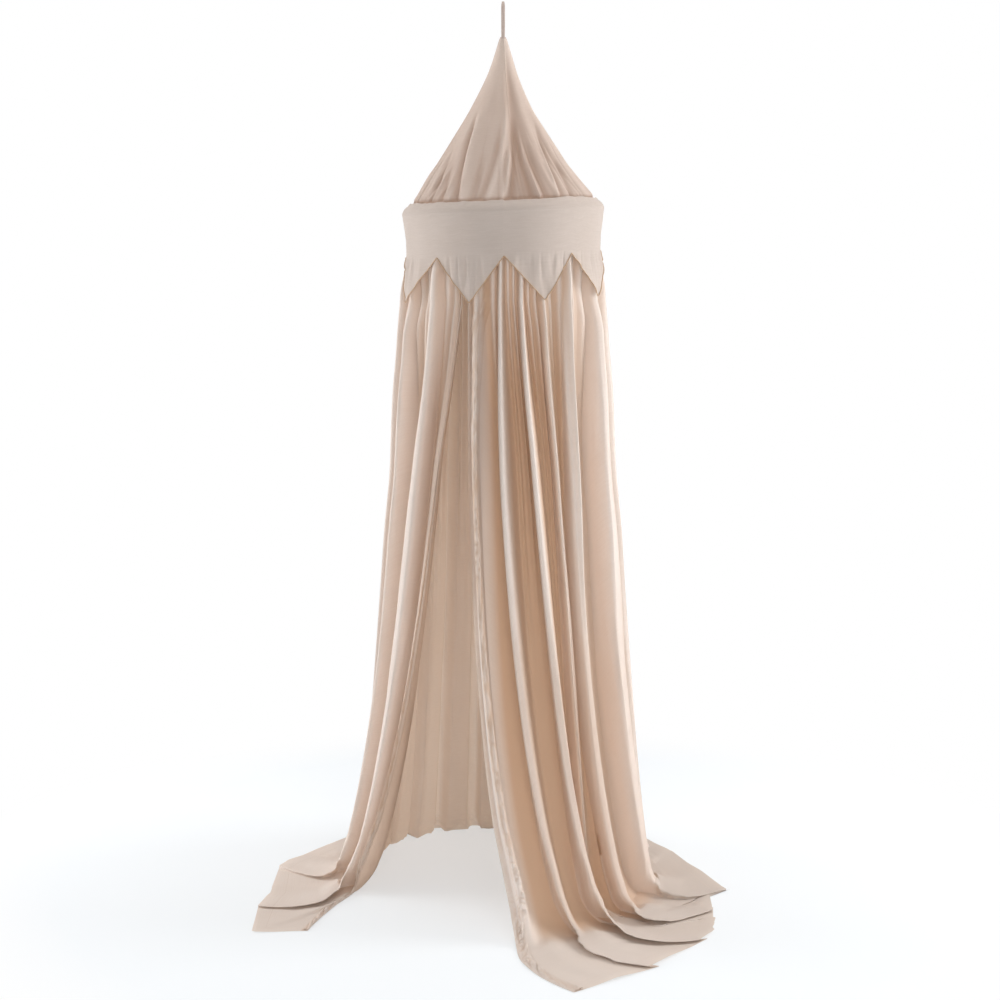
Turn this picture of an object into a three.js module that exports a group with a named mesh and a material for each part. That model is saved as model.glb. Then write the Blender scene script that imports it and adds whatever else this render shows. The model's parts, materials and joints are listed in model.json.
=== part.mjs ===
// Bed crown canopy: a round hoop hung from one tape loop, with a pointed cloth roof above it,
// a crown band with eight points around it, and a long gathered curtain that is open at the front
// and lies spread on the floor. Millimetres, +Z up, +X to the right, the entrance faces -Y.
// The origin is where the ceiling hook carries the loop.

import * as THREE from 'three';

// Heights and fits
const hangHeight = 2190; // hook to floor
const loopLength = 84; // hook to the peak of the roof
const hoopHeight = 1688; // floor to the middle of the hoop
const clearance = 0.4; // between two sewn pieces that lie on each other
const seamGap = 0.6; // between two cloths that meet edge to edge

// Hanging loop, a tape folded over the hook and knotted under the peak
const tapeWidth = 9.5;
const tapeThickness = 1.5;
const eyeWidth = 14;
const eyeDepth = 62;
const knotRadius = 9.5;
const knotDepth = 13;

// Peak binding, a sewn ring that the loop passes through
const peakBoreRadius = 5.7;
const peakRimRadius = 7.5;
const peakDepth = 20;

// Hoop, two tubes plugged together
const hoopRadius = 242;
const hoopTubeRadius = 5;
const hoopWall = 1.5;
const joinerLength = 60;
const plugGap = 1.2; // between the ends of the two tubes
const hoopTilt = 2; // degrees that the hoop hangs out of level, right side up

// Roof
const roofCloth = 1.2;
const roofPeakRadius = 5.5;
const roofStart = 6; // peak to the upper end of the gores
const roofPucker = 4;
const gores = 4;
const puckersPerGore = 3;

// Crown band
const bandCloth = 1.2;
const seamInset = 16; // roof seam, inward of the hoop's middle line
const seamRise = 20; // roof seam, above the hoop's middle line
const bandWaist = 2; // how far the band draws in under the hoop
const bandDrop = 109; // hoop to the valleys between the points
const pointDrop = 109; // valleys to the tips of the points
const points = 8;
const bandPieces = 4;
const edgingHeight = 3;
const edgingThickness = 2.6;

// Casing that carries the hoop, and the tape inside the curtain's top edge
const casingCloth = 1;
const casingClearance = 0.8;
const casingTuck = 3; // roof seam to the upper edge of the casing
const headingHeight = 8;
const headingCloth = 1.4;

// Curtain
const curtainCloth = 1.6;
const curtainTopRadius = 238;
const curtainNeckRadius = 231; // just below the gathered top edge
const curtainNeckDepth = 45;
const topGather = 2.4; // half depth of the gathers at the hoop
const foldDepth = 22; // half depth of a hanging fold
const floorFoldHeight = 12; // a fold that lies on the floor
const footReach = 400; // axis to where the curtain meets the floor
const hemReach = 600; // axis to the hem
const bendHeight = 270; // where the cloth starts to turn towards the floor
const hemFlat = 40; // flat border at the hem
const drawDrop = 768; // curtain's top edge to the level below which the front is drawn aside
const drawGap = 2;
const frontHemCloth = 1.2;

// One row for each fold's ridge, from the left front edge round the back to the right front edge:
// its place on the hoop, as an angle from the front with left negative.
const foldAngles = [
  -22, -40, -64, -84, -104, -124, -144, -164, -184, -204,
  -224, -244, -264, -282, -304, -324, -342, -360, -380,
];
// Where each ridge comes down, x and y as shares of footReach.
const footShares = [
  [-0.97, -0.335], [-1.01, -0.15], [-1.06, 0.075], [-0.99, 0.3], [-0.875, 0.5],
  [-0.69, 0.675], [-0.46, 0.81], [-0.21, 0.875], [0.05, 0.9], [0.31, 0.86],
  [0.56, 0.75], [0.775, 0.56], [0.925, 0.3], [0.99, -0.23], [0.91, -0.59],
  [0.675, -1.0], [0.44, -1.2], [0.24, -1.25], [0.065, -1.25],
];
// Where each ridge ends at the hem, x and y as shares of hemReach.
const hemShares = [
  [-0.753, -0.79], [-1.017, -0.667], [-0.99, 0.01], [-0.867, 0.233], [-0.723, 0.417],
  [-0.567, 0.633], [-0.367, 0.767], [-0.15, 0.833], [0.067, 0.85], [0.275, 0.8],
  [0.475, 0.683], [0.642, 0.5], [0.758, 0.183], [0.932, -0.28], [0.842, -0.733],
  [0.692, -0.965], [0.53, -1.205], [0.257, -1.413], [0.123, -1.24],
];
// The folds at which one cloth width is sewn to the next, always in a valley.
const leftSeam = 2.5;
const backLeftSeam = 5.5;
const backRightSeam = 9.5;
const rightSeam = 13.5;
const lastFold = foldAngles.length - 1;

// The roof's outline: depth below the peak and radius, as shares of the roof's height and spread.
const roofShares = [
  [0, 0], [0.09, 0.052], [0.225, 0.128], [0.34, 0.21], [0.455, 0.305],
  [0.615, 0.49], [0.785, 0.69], [0.9, 0.845], [1, 1],
];
// The band's shoulder from the roof seam to the rim: way out and way down, as shares.
const shoulderShares = [[0, 0], [0.53, 0.36], [0.87, 0.7], [1, 1]];

// How finely the surfaces are divided
const ringSteps = 32;
const ringStep = 360 / ringSteps;
const tubeSides = 4; // on a half turn of the section
const foldColumns = 6;
const hemColumns = 3; // columns of the cloth that a front hem covers
const goreColumns = 9;
const goreRows = 7;
const shoulderRows = 3;
const bandRows = 5;
const upperRows = 6;
const flapRows = 10;
const splineSteps = 6;

// Levels above the floor and radii that follow from the sizes above
const peakHeight = hangHeight - loopLength;
const seamHeight = hoopHeight + seamRise;
const seamRadius = hoopRadius - seamInset;
const casingRadius = hoopTubeRadius + casingClearance + casingCloth / 2;
const rimRadius = hoopRadius + casingRadius + casingCloth / 2 + clearance + bandCloth / 2;
const rimHeight = hoopHeight - hoopTubeRadius / 2;
const valleyRadius = hoopRadius - bandWaist;
const tipRadius = hoopRadius + bandWaist;
const tipHeight = hoopHeight - bandDrop - pointDrop;
const curtainTop = hoopHeight - casingRadius - casingCloth / 2 - clearance;
const spreadDrop = curtainTop - tipHeight;
const drawHeight = curtainTop - drawDrop;
const foldSpacing = 2 * Math.PI * curtainNeckRadius / lastFold;

const cloth = (hex, roughness) => new THREE.MeshStandardMaterial({ color: hex, roughness, metalness: 0 });
const clothMaterial = cloth(0xdcc9bd, 0.9);
const bandMaterial = cloth(0xe0cfc4, 0.88);
const tapeMaterial = cloth(0xcdb9ad, 0.85);
const edgingMaterial = cloth(0xc4ab98, 0.8);
const hoopMaterial = cloth(0xe8e6e1, 0.45);

const { smoothstep, clamp, lerp, degToRad, radToDeg } = THREE.MathUtils;
const tiltSlope = Math.tan(degToRad(hoopTilt));

// The hoop hangs out of level, and the cloth leans with it. The lean fades towards the peak and
// towards the level where the front is drawn aside.
function leanAt(height) {
  if (height > seamHeight) return clamp((peakHeight - height) / (peakHeight - seamHeight), 0, 1);
  return clamp((height - drawHeight) / (tipHeight - drawHeight), 0, 1);
}

function lean(point) {
  point.z += point.x * tiltSlope * leanAt(point.z);
  return point;
}

function leanAll(geometry) {
  const places = geometry.attributes.position;
  const point = new THREE.Vector3();
  for (let i = 0; i < places.count; i += 1) {
    lean(point.fromBufferAttribute(places, i));
    places.setXYZ(i, point.x, point.y, point.z);
  }
  return geometry;
}

// A point on a circle round the axis, by its angle from the front.
function around(degrees, radius, height) {
  const turn = degToRad(degrees);
  return new THREE.Vector3(radius * Math.sin(turn), -radius * Math.cos(turn), height);
}

// Straight lines through a table of [place, value] rows.
function between(rows, place) {
  const above = rows.findIndex((row) => row[0] > place);
  const i = above < 0 ? rows.length - 2 : Math.max(above - 1, 0);
  const [[a, p], [b, q]] = [rows[i], rows[i + 1]];
  return p + (q - p) * (place - a) / (b - a);
}

// A smooth curve through a list of values, one at each whole number.
function through(values, place) {
  const i = clamp(Math.floor(place), 0, values.length - 2);
  const t = place - i;
  const [a, b, c, d] = [i - 1, i, i + 1, i + 2].map((n) => values[clamp(n, 0, values.length - 1)]);
  return b + 0.5 * t * (c - a + t * (2 * a - 5 * b + 4 * c - d + t * (3 * (b - c) + d - a)));
}

// A closed sheet of cloth: the corners of a divided box are put in place by their shares across
// (0 to 1, leftwards seen from outside), down (0 to 1) and through the cloth (-0.5 to 0.5, outwards).
// The inner face is split along the same diagonals as the outer one, so a twisted cloth stays thick.
function sheet(columns, rows, place) {
  const geometry = new THREE.BoxGeometry(1, 1, 1, columns, rows, 1);
  const places = geometry.attributes.position;
  for (let i = 0; i < places.count; i += 1) {
    const point = place(0.5 - places.getX(i), 0.5 - places.getY(i), places.getZ(i));
    places.setXYZ(i, point.x, point.y, point.z);
  }
  const inside = geometry.groups[5];
  const corners = geometry.index.array;
  for (let i = inside.start; i < inside.start + inside.count; i += 6) {
    const [a, b, d, , c] = corners.slice(i, i + 6);
    corners.set([a, b, c, a, c, d], i);
  }
  return geometry;
}

// The outward normal of a surface, from points close by.
function normalAt(surface, across, down) {
  const step = 0.001;
  const leftward = surface(across + step, down).sub(surface(across - step, down));
  const downward = surface(across, down + step).sub(surface(across, down - step));
  return leftward.cross(downward).normalize();
}

// A ring turned about the axis from the outline of its section.
function turned(outline, steps) {
  const section = outline.map(([radius, height]) => new THREE.Vector2(radius, height));
  return new THREE.LatheGeometry([...section, section[0]], steps).rotateX(Math.PI / 2);
}

// The outline of a strip of cloth along a line of [radius, height] points.
function strip(line, thickness) {
  const side = (sign) => line.map(([r, z], i) => {
    const [r0, z0] = line[Math.max(i - 1, 0)];
    const [r1, z1] = line[Math.min(i + 1, line.length - 1)];
    const length = Math.hypot(r1 - r0, z1 - z0);
    const shift = sign * thickness / 2 / length;
    return [r + (z1 - z0) * shift, z - (r1 - r0) * shift];
  });
  return [...side(1), ...side(-1).reverse()];
}

// Hanging loop: a slim drop-shaped eye above a stem of two layers, cut from the tape's width.
function hangingLoop() {
  const stem = tapeThickness + clearance / 2;
  const bottom = -loopLength - peakDepth - knotDepth / 2;
  const drop = (grow) => {
    const half = eyeWidth / 2 + grow;
    const top = grow;
    const side = [[half * 0.45, top - 0.03 * eyeDepth], [half * 0.85, -0.12 * eyeDepth],
      [half, -0.26 * eyeDepth], [half * 0.8, -0.5 * eyeDepth]];
    const mirrored = side.map(([y, z]) => [-y, z]).reverse();
    return [...mirrored, [0, top], ...side].map(([y, z]) => new THREE.Vector2(y, z));
  };
  const outer = new THREE.SplineCurve([
    new THREE.Vector2(-stem, -eyeDepth - stem), ...drop(tapeThickness), new THREE.Vector2(stem, -eyeDepth - stem)]);
  const steps = splineSteps * 6;
  const outline = new THREE.Shape([
    new THREE.Vector2(-stem, bottom), new THREE.Vector2(stem, bottom), ...outer.getPoints(steps).reverse()]);
  const inner = new THREE.SplineCurve([
    new THREE.Vector2(0, -eyeDepth), ...drop(0), new THREE.Vector2(0, -eyeDepth)]);
  outline.holes.push(new THREE.Path(inner.getPoints(steps).slice(1)));
  const geometry = new THREE.ExtrudeGeometry(outline, { depth: tapeWidth, bevelEnabled: false });
  geometry.translate(0, 0, -tapeWidth / 2);
  geometry.rotateY(Math.PI / 2).rotateX(Math.PI / 2);
  return geometry.translate(0, 0, hangHeight);
}

// The knot below the peak, drawn tight round the stem.
function loopKnot() {
  const top = peakHeight - peakDepth - clearance;
  const bore = Math.hypot(tapeWidth / 2, tapeThickness + clearance / 2) + 2 * clearance;
  const arc = [-50, -25, 0, 25, 50].map((degrees) => {
    const share = Math.sin(degToRad(degrees)) / Math.sin(degToRad(50));
    return [knotRadius * Math.cos(degToRad(degrees)), top + knotDepth / 2 * (share - 1)];
  });
  return turned([[bore, top - knotDepth], ...arc, [bore, top]], ringSteps / 2);
}

function roofRadius(depth) {
  const spread = seamRadius - roofPeakRadius;
  return roofPeakRadius + spread * between(roofShares, depth / (peakHeight - seamHeight));
}

function peakBinding() {
  const under = roofCloth / 2 + clearance;
  return turned([
    [peakBoreRadius, peakHeight - peakDepth],
    [roofRadius(peakDepth) - under, peakHeight - peakDepth],
    [roofRadius(roofStart) - under, peakHeight - roofStart],
    [peakRimRadius, peakHeight - roofStart + 2 * clearance],
    [peakRimRadius, peakHeight],
    [peakBoreRadius, peakHeight],
  ], ringSteps / 2);
}

// Roof gore: a quarter of the cone, with puckers that rise from the hoop seam.
function roofGore(index) {
  const arc = 360 / gores;
  const length = peakHeight - seamHeight - roofStart - seamGap;
  const surface = (across, down) => {
    const depth = roofStart + length * down;
    const radius = roofRadius(depth);
    const gap = radToDeg(seamGap / 2 / radius);
    const angle = ringStep - index * arc - gap - (arc - 2 * gap) * across;
    const pucker = roofPucker * 4 * down * down * (1 - down) * Math.cos(across * puckersPerGore * 2 * Math.PI);
    return around(angle, radius + pucker, peakHeight - depth);
  };
  return sheet(goreColumns, goreRows, (across, down, layer) => {
    const normal = normalAt(surface, across, down);
    return lean(surface(across, down).addScaledVector(normal, layer * roofCloth));
  });
}

// A bar or tube with a round section along straight lines between points on the hoop.
function hoopBar(corners, outside, inside) {
  const path = new THREE.CurvePath();
  corners.slice(1).forEach((corner, i) => path.add(new THREE.LineCurve3(corners[i], corner)));
  const section = new THREE.Shape().absarc(0, 0, outside, 0, 2 * Math.PI, false);
  if (inside) section.holes.push(new THREE.Path().absarc(0, 0, inside, 0, 2 * Math.PI, true));
  const steps = corners.length - 1;
  const options = { steps, curveSegments: tubeSides, extrudePath: path, bevelEnabled: false };
  return leanAll(new THREE.ExtrudeGeometry(section, options));
}

function hoopTube(from) {
  const gap = radToDeg(plugGap / 2 / hoopRadius);
  const corners = Array.from({ length: ringSteps / 2 + 1 }, (_, i) => {
    const angle = clamp(from - i * ringStep, from - 180 + gap, from - gap);
    return around(angle, hoopRadius, hoopHeight);
  });
  return hoopBar(corners, hoopTubeRadius, hoopTubeRadius - hoopWall);
}

function hoopJoiner(middle) {
  const centre = around(middle, hoopRadius, hoopHeight);
  const end = (side) => {
    const next = around(middle + side * ringStep, hoopRadius, hoopHeight);
    return centre.clone().lerp(next, joinerLength / 2 / centre.distanceTo(next));
  };
  return hoopBar([end(1), centre, end(-1)], hoopTubeRadius - hoopWall - clearance, 0);
}

// Hoop casing: a strip sewn in at the roof seam that passes under the hoop and carries it.
function hoopCasing() {
  const line = [[seamRadius, seamHeight - casingTuck]];
  for (let degrees = 125; degrees <= 345; degrees += 44) {
    const turn = degToRad(degrees);
    line.push([hoopRadius + casingRadius * Math.cos(turn), hoopHeight + casingRadius * Math.sin(turn)]);
  }
  return leanAll(turned(strip(line, casingCloth), ringSteps));
}

function headingTape() {
  const outside = curtainTopRadius - topGather - curtainCloth / 2 - clearance;
  const line = [[outside - headingCloth / 2, curtainTop - headingHeight], [outside - headingCloth / 2, curtainTop]];
  return leanAll(turned(strip(line, headingCloth), ringSteps));
}

// The band's outline below the rim, as rows of [height, radius].
const bandOutline = [
  [tipHeight - edgingHeight - clearance, tipRadius],
  [tipHeight, tipRadius],
  [hoopHeight - bandDrop, valleyRadius],
  [lerp(hoopHeight - bandDrop, rimHeight, 0.4), lerp(valleyRadius, rimRadius, 0.15)],
  [lerp(hoopHeight - bandDrop, rimHeight, 0.8), lerp(valleyRadius, rimRadius, 0.7)],
  [rimHeight, rimRadius],
];

// Height of the pointed edge by its angle: valleys at whole arcs from the front, tips between them.
function edgeHeight(degrees) {
  const arc = 360 / points;
  const part = ((degrees % arc) + arc) % arc / arc;
  return hoopHeight - bandDrop - pointDrop * (1 - Math.abs(2 * part - 1));
}

// The angle at a share of one band piece, counted leftwards.
function bandAngle(index, across) {
  const arc = 360 / bandPieces;
  const gap = radToDeg(seamGap / 2 / hoopRadius);
  return arc / 2 - index * arc - gap - (arc - 2 * gap) * across;
}

function bandPiece(index) {
  const rows = shoulderRows + bandRows;
  return sheet(ringSteps / bandPieces, rows, (across, down, layer) => {
    const angle = bandAngle(index, across);
    const row = down * rows;
    const share = Math.min(row / shoulderRows, 1);
    const [out, fall] = shoulderShares[Math.round(share * shoulderRows)];
    let height = lerp(seamHeight, rimHeight, fall);
    let radius = lerp(seamRadius + seamGap, rimRadius, out);
    if (row > shoulderRows) {
      height = lerp(rimHeight, edgeHeight(angle), (row - shoulderRows) / bandRows);
      radius = between(bandOutline, height);
    }
    const slope = degToRad(lerp(60, 0, share));
    const point = around(angle, radius + layer * bandCloth * Math.cos(slope), height);
    point.z += layer * bandCloth * Math.sin(slope);
    return lean(point);
  });
}

// Corded edging under the pointed edge of one band piece.
function bandEdging(index) {
  return sheet(ringSteps / bandPieces, 1, (across, down, layer) => {
    const angle = bandAngle(index, across);
    const height = edgeHeight(angle) - clearance - down * edgingHeight;
    const radius = between(bandOutline, height) + layer * edgingThickness;
    return lean(around(angle, radius, height));
  });
}

// The curtain's middle surface, by fold number and by the share of the way down to the hem.
const turnShare = 0.5; // share of the way where the cloth starts to turn
const lieShare = 0.8; // share of the way where it lies on the floor
const landShare = 0.45; // how far towards the hem the turned cloth has come by then
const hangShare = 1 - bendHeight / curtainTop;
const sweepShare = 0.65; // how much of the spread is even, the rest comes near the floor

function downAt(drop) {
  return turnShare * drop / curtainTop / hangShare;
}

function floorPoint(shares, reach, fold) {
  const [x, y] = [0, 1].map((n) => reach * through(shares.map((row) => row[n]), fold));
  return new THREE.Vector3(x, y, curtainCloth / 2);
}

function curtainPoint(fold, down) {
  const foot = floorPoint(footShares, footReach, fold);
  const hem = floorPoint(hemShares, hemReach, fold);
  const drop = Math.min(down, turnShare) / turnShare * hangShare * curtainTop;
  const fall = clamp((drop - spreadDrop) / (curtainTop - spreadDrop), 0, 1);
  const spread = sweepShare * fall + (1 - sweepShare) * fall ** 5;
  const neck = lerp(curtainTopRadius, curtainNeckRadius, smoothstep(drop, 0, curtainNeckDepth));
  const point = around(through(foldAngles, fold), neck, 0).lerp(foot, spread);
  point.z = curtainTop - drop;
  const land = foot.clone().lerp(hem, landShare);
  if (down > lieShare) {
    point.copy(land).lerp(hem, (down - lieShare) / (1 - lieShare));
  } else if (down > turnShare) {
    const t = (down - turnShare) / (lieShare - turnShare);
    point.lerp(foot, t).lerp(foot.lerp(land, t), t);
  }
  const wave = Math.cos(2 * Math.PI * fold);
  const lying = smoothstep(down, turnShare, lieShare);
  const depth = lerp(topGather, foldDepth, smoothstep(drop, spreadDrop, curtainTop / 2));
  const out = hem.clone().setZ(0).normalize();
  const border = clamp((1 - down) / (1 - lieShare) * hem.distanceTo(land) / hemFlat - 1, 0, 1);
  point.addScaledVector(out, depth * wave * (1 - lying));
  point.z += floorFoldHeight * (1 + wave) / 2 * lying * border;
  return point;
}

// The share of the way down at each row. The rows of all cloths are level with each other.
function shareAtRow(row) {
  const draw = downAt(drawDrop);
  return row < upperRows ? draw * row / upperRows : lerp(draw, 1, (row - upperRows) / flapRows);
}

// A sheet on the curtain between two seams, from one column and row to another of the cloth there,
// lying a named step off the curtain's middle surface.
function curtainCut([first, last], [firstColumn, lastColumn], [firstRow, lastRow], offset, thickness) {
  const inset = seamGap / 2 / foldSpacing;
  const start = first === 0 ? 0 : first + inset;
  const end = last === lastFold ? lastFold : last - inset;
  const lowest = offset > 0 ? offset + curtainCloth / 2 : curtainCloth / 2;
  const top = firstRow === upperRows ? downAt(drawDrop + drawGap) : 0;
  return sheet(lastColumn - firstColumn, lastRow - firstRow, (across, down, layer) => {
    const column = Math.round(lerp(firstColumn, lastColumn, across));
    const fold = lerp(start, end, column / columnsIn([first, last]));
    const share = Math.max(shareAtRow(Math.round(lerp(firstRow, lastRow, down))), top);
    const normal = normalAt(curtainPoint, fold, share);
    const point = curtainPoint(fold, share).addScaledVector(normal, offset + layer * thickness);
    point.z = Math.max(point.z, lowest + layer * thickness);
    return lean(point);
  });
}

const leftFront = [0, leftSeam];
const rightFront = [rightSeam, lastFold];
const allRows = [0, upperRows + flapRows];
const upper = [0, upperRows];
const flap = [upperRows, upperRows + flapRows];

function columnsIn(folds) {
  return (folds[1] - folds[0]) * foldColumns;
}

function curtainPanel(folds, rows) {
  return curtainCut(folds, [0, columnsIn(folds)], rows, 0, curtainCloth);
}

// Front hem: the edge of a front cloth turned to the outside and stitched down.
function frontHem(folds, rows) {
  const edge = folds === leftFront ? [0, hemColumns] : [columnsIn(folds) - hemColumns, columnsIn(folds)];
  return curtainCut(folds, edge, rows, (curtainCloth + frontHemCloth) / 2 + clearance, frontHemCloth);
}

const canopy = new THREE.Group();
canopy.position.z = -hangHeight;

function add(name, geometry, material) {
  const mesh = new THREE.Mesh(geometry, material);
  mesh.name = name;
  canopy.add(mesh);
}

add('hanging_loop', hangingLoop(), tapeMaterial);
add('loop_knot', loopKnot(), tapeMaterial);
add('peak_binding', peakBinding(), tapeMaterial);
['front_left', 'back_left', 'back_right', 'front_right'].forEach((side, i) => {
  add(`roof_gore_${side}`, roofGore(i), clothMaterial);
});
add('hoop_tube_front', hoopTube(90), hoopMaterial);
add('hoop_tube_back', hoopTube(-90), hoopMaterial);
add('hoop_joiner_left', hoopJoiner(-90), hoopMaterial);
add('hoop_joiner_right', hoopJoiner(90), hoopMaterial);
add('hoop_casing', hoopCasing(), clothMaterial);
add('heading_tape', headingTape(), tapeMaterial);
['front', 'left', 'back', 'right'].forEach((side, i) => {
  add(`crown_band_${side}`, bandPiece(i), bandMaterial);
  add(`crown_edging_${side}`, bandEdging(i), edgingMaterial);
});
add('curtain_left_side', curtainPanel([leftSeam, backLeftSeam], allRows), clothMaterial);
add('curtain_back', curtainPanel([backLeftSeam, backRightSeam], allRows), clothMaterial);
add('curtain_right_side', curtainPanel([backRightSeam, rightSeam], allRows), clothMaterial);
add('curtain_left_upper', curtainPanel(leftFront, upper), clothMaterial);
add('curtain_right_upper', curtainPanel(rightFront, upper), clothMaterial);
add('curtain_left_flap', curtainPanel(leftFront, flap), clothMaterial);
add('curtain_right_flap', curtainPanel(rightFront, flap), clothMaterial);
add('hem_left_upper', frontHem(leftFront, upper), clothMaterial);
add('hem_right_upper', frontHem(rightFront, upper), clothMaterial);
add('hem_left_flap', frontHem(leftFront, flap), clothMaterial);
add('hem_right_flap', frontHem(rightFront, flap), clothMaterial);

export default canopy;
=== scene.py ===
# %% [markdown]
# # A bed crown canopy
# The real thing hangs from one tape loop. A pointed cloth roof runs down to a round hoop, a crown
# band with eight points goes round the hoop, and a long gathered curtain falls from it to the
# floor, open at the front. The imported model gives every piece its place, in metres, with the
# origin at the ceiling hook, so nothing has to be fitted by eye. All of it is cloth, so each
# piece is a thin curved sheet whose points are worked out in rows and columns.
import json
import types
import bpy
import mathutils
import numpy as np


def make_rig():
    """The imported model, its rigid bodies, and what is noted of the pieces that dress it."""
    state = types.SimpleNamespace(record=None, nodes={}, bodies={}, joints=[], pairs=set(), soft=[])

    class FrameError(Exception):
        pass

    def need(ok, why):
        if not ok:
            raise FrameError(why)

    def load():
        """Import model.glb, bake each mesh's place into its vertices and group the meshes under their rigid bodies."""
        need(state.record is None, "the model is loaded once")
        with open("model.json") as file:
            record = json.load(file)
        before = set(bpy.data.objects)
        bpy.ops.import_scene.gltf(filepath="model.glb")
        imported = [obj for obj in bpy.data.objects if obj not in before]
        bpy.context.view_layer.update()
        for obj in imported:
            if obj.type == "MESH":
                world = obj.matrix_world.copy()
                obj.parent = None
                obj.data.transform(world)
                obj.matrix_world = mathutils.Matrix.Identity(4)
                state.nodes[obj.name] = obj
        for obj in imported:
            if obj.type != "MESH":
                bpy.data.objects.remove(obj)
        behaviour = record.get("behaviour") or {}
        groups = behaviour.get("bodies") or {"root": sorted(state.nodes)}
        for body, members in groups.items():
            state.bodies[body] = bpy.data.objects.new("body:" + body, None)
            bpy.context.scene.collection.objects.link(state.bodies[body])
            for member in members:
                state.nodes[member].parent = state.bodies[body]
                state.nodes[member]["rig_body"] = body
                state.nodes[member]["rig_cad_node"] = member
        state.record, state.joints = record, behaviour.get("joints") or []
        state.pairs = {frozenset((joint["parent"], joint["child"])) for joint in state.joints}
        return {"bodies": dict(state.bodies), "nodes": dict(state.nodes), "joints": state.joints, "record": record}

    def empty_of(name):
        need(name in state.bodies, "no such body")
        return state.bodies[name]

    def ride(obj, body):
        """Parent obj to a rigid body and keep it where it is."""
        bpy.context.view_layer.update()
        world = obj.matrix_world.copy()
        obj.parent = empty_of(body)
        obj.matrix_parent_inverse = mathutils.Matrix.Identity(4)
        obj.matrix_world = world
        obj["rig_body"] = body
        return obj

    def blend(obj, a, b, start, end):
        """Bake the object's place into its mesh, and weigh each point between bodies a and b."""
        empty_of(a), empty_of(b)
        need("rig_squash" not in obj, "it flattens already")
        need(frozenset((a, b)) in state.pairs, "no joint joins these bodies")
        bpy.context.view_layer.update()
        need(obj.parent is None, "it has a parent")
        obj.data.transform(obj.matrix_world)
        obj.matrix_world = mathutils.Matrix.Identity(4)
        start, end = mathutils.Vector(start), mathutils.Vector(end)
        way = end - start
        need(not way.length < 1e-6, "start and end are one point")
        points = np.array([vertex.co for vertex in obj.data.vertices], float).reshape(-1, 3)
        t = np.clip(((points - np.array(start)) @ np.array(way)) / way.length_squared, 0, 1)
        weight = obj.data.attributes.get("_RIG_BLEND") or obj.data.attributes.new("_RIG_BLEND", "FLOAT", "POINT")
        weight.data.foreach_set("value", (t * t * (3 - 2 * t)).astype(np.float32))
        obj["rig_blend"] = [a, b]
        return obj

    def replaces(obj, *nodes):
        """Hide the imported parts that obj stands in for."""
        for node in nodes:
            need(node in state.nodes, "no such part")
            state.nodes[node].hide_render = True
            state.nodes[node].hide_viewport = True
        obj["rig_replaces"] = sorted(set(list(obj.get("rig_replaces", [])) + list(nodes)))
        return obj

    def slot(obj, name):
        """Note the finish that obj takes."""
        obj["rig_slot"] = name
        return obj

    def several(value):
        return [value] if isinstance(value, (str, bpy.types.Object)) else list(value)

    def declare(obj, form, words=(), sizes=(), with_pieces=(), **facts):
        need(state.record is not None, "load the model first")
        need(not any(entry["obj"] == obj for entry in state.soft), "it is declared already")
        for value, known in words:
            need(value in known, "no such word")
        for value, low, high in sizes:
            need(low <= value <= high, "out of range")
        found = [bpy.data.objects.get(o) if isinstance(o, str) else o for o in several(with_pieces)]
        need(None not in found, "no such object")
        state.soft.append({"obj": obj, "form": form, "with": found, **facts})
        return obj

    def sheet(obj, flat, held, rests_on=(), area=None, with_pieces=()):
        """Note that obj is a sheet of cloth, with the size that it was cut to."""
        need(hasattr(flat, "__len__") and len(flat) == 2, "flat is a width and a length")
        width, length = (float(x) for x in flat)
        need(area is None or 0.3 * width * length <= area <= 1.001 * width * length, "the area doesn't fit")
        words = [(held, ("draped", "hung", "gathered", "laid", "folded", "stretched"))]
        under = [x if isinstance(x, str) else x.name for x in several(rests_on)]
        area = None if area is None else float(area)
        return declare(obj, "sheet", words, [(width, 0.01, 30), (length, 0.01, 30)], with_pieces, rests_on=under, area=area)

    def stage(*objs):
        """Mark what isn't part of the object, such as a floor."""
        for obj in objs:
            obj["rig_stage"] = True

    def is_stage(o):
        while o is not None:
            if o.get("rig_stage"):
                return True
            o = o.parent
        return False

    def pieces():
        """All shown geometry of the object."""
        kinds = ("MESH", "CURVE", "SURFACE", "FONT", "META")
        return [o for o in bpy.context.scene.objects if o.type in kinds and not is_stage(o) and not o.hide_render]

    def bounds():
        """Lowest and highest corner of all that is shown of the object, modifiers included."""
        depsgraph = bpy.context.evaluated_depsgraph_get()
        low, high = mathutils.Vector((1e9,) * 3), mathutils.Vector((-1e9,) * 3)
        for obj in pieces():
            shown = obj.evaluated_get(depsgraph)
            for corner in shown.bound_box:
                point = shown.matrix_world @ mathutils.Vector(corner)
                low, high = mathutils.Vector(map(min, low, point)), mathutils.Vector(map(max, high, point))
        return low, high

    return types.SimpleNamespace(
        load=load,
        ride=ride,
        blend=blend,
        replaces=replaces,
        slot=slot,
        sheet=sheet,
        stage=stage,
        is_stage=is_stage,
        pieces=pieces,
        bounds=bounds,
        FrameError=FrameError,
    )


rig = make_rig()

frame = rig.load()
cad_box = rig.bounds()

import json
import math

import bpy
import numpy as np
from mathutils import Vector

print("model loaded:", len(frame["nodes"]), "nodes on", sorted(frame["bodies"]))

# %% [markdown]
# ## The camera
# The canopy is 2.2 m tall and is seen from a little above its middle. A camera five metres away
# looks slightly down, so that the cloth on the floor shows its upper side.

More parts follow.
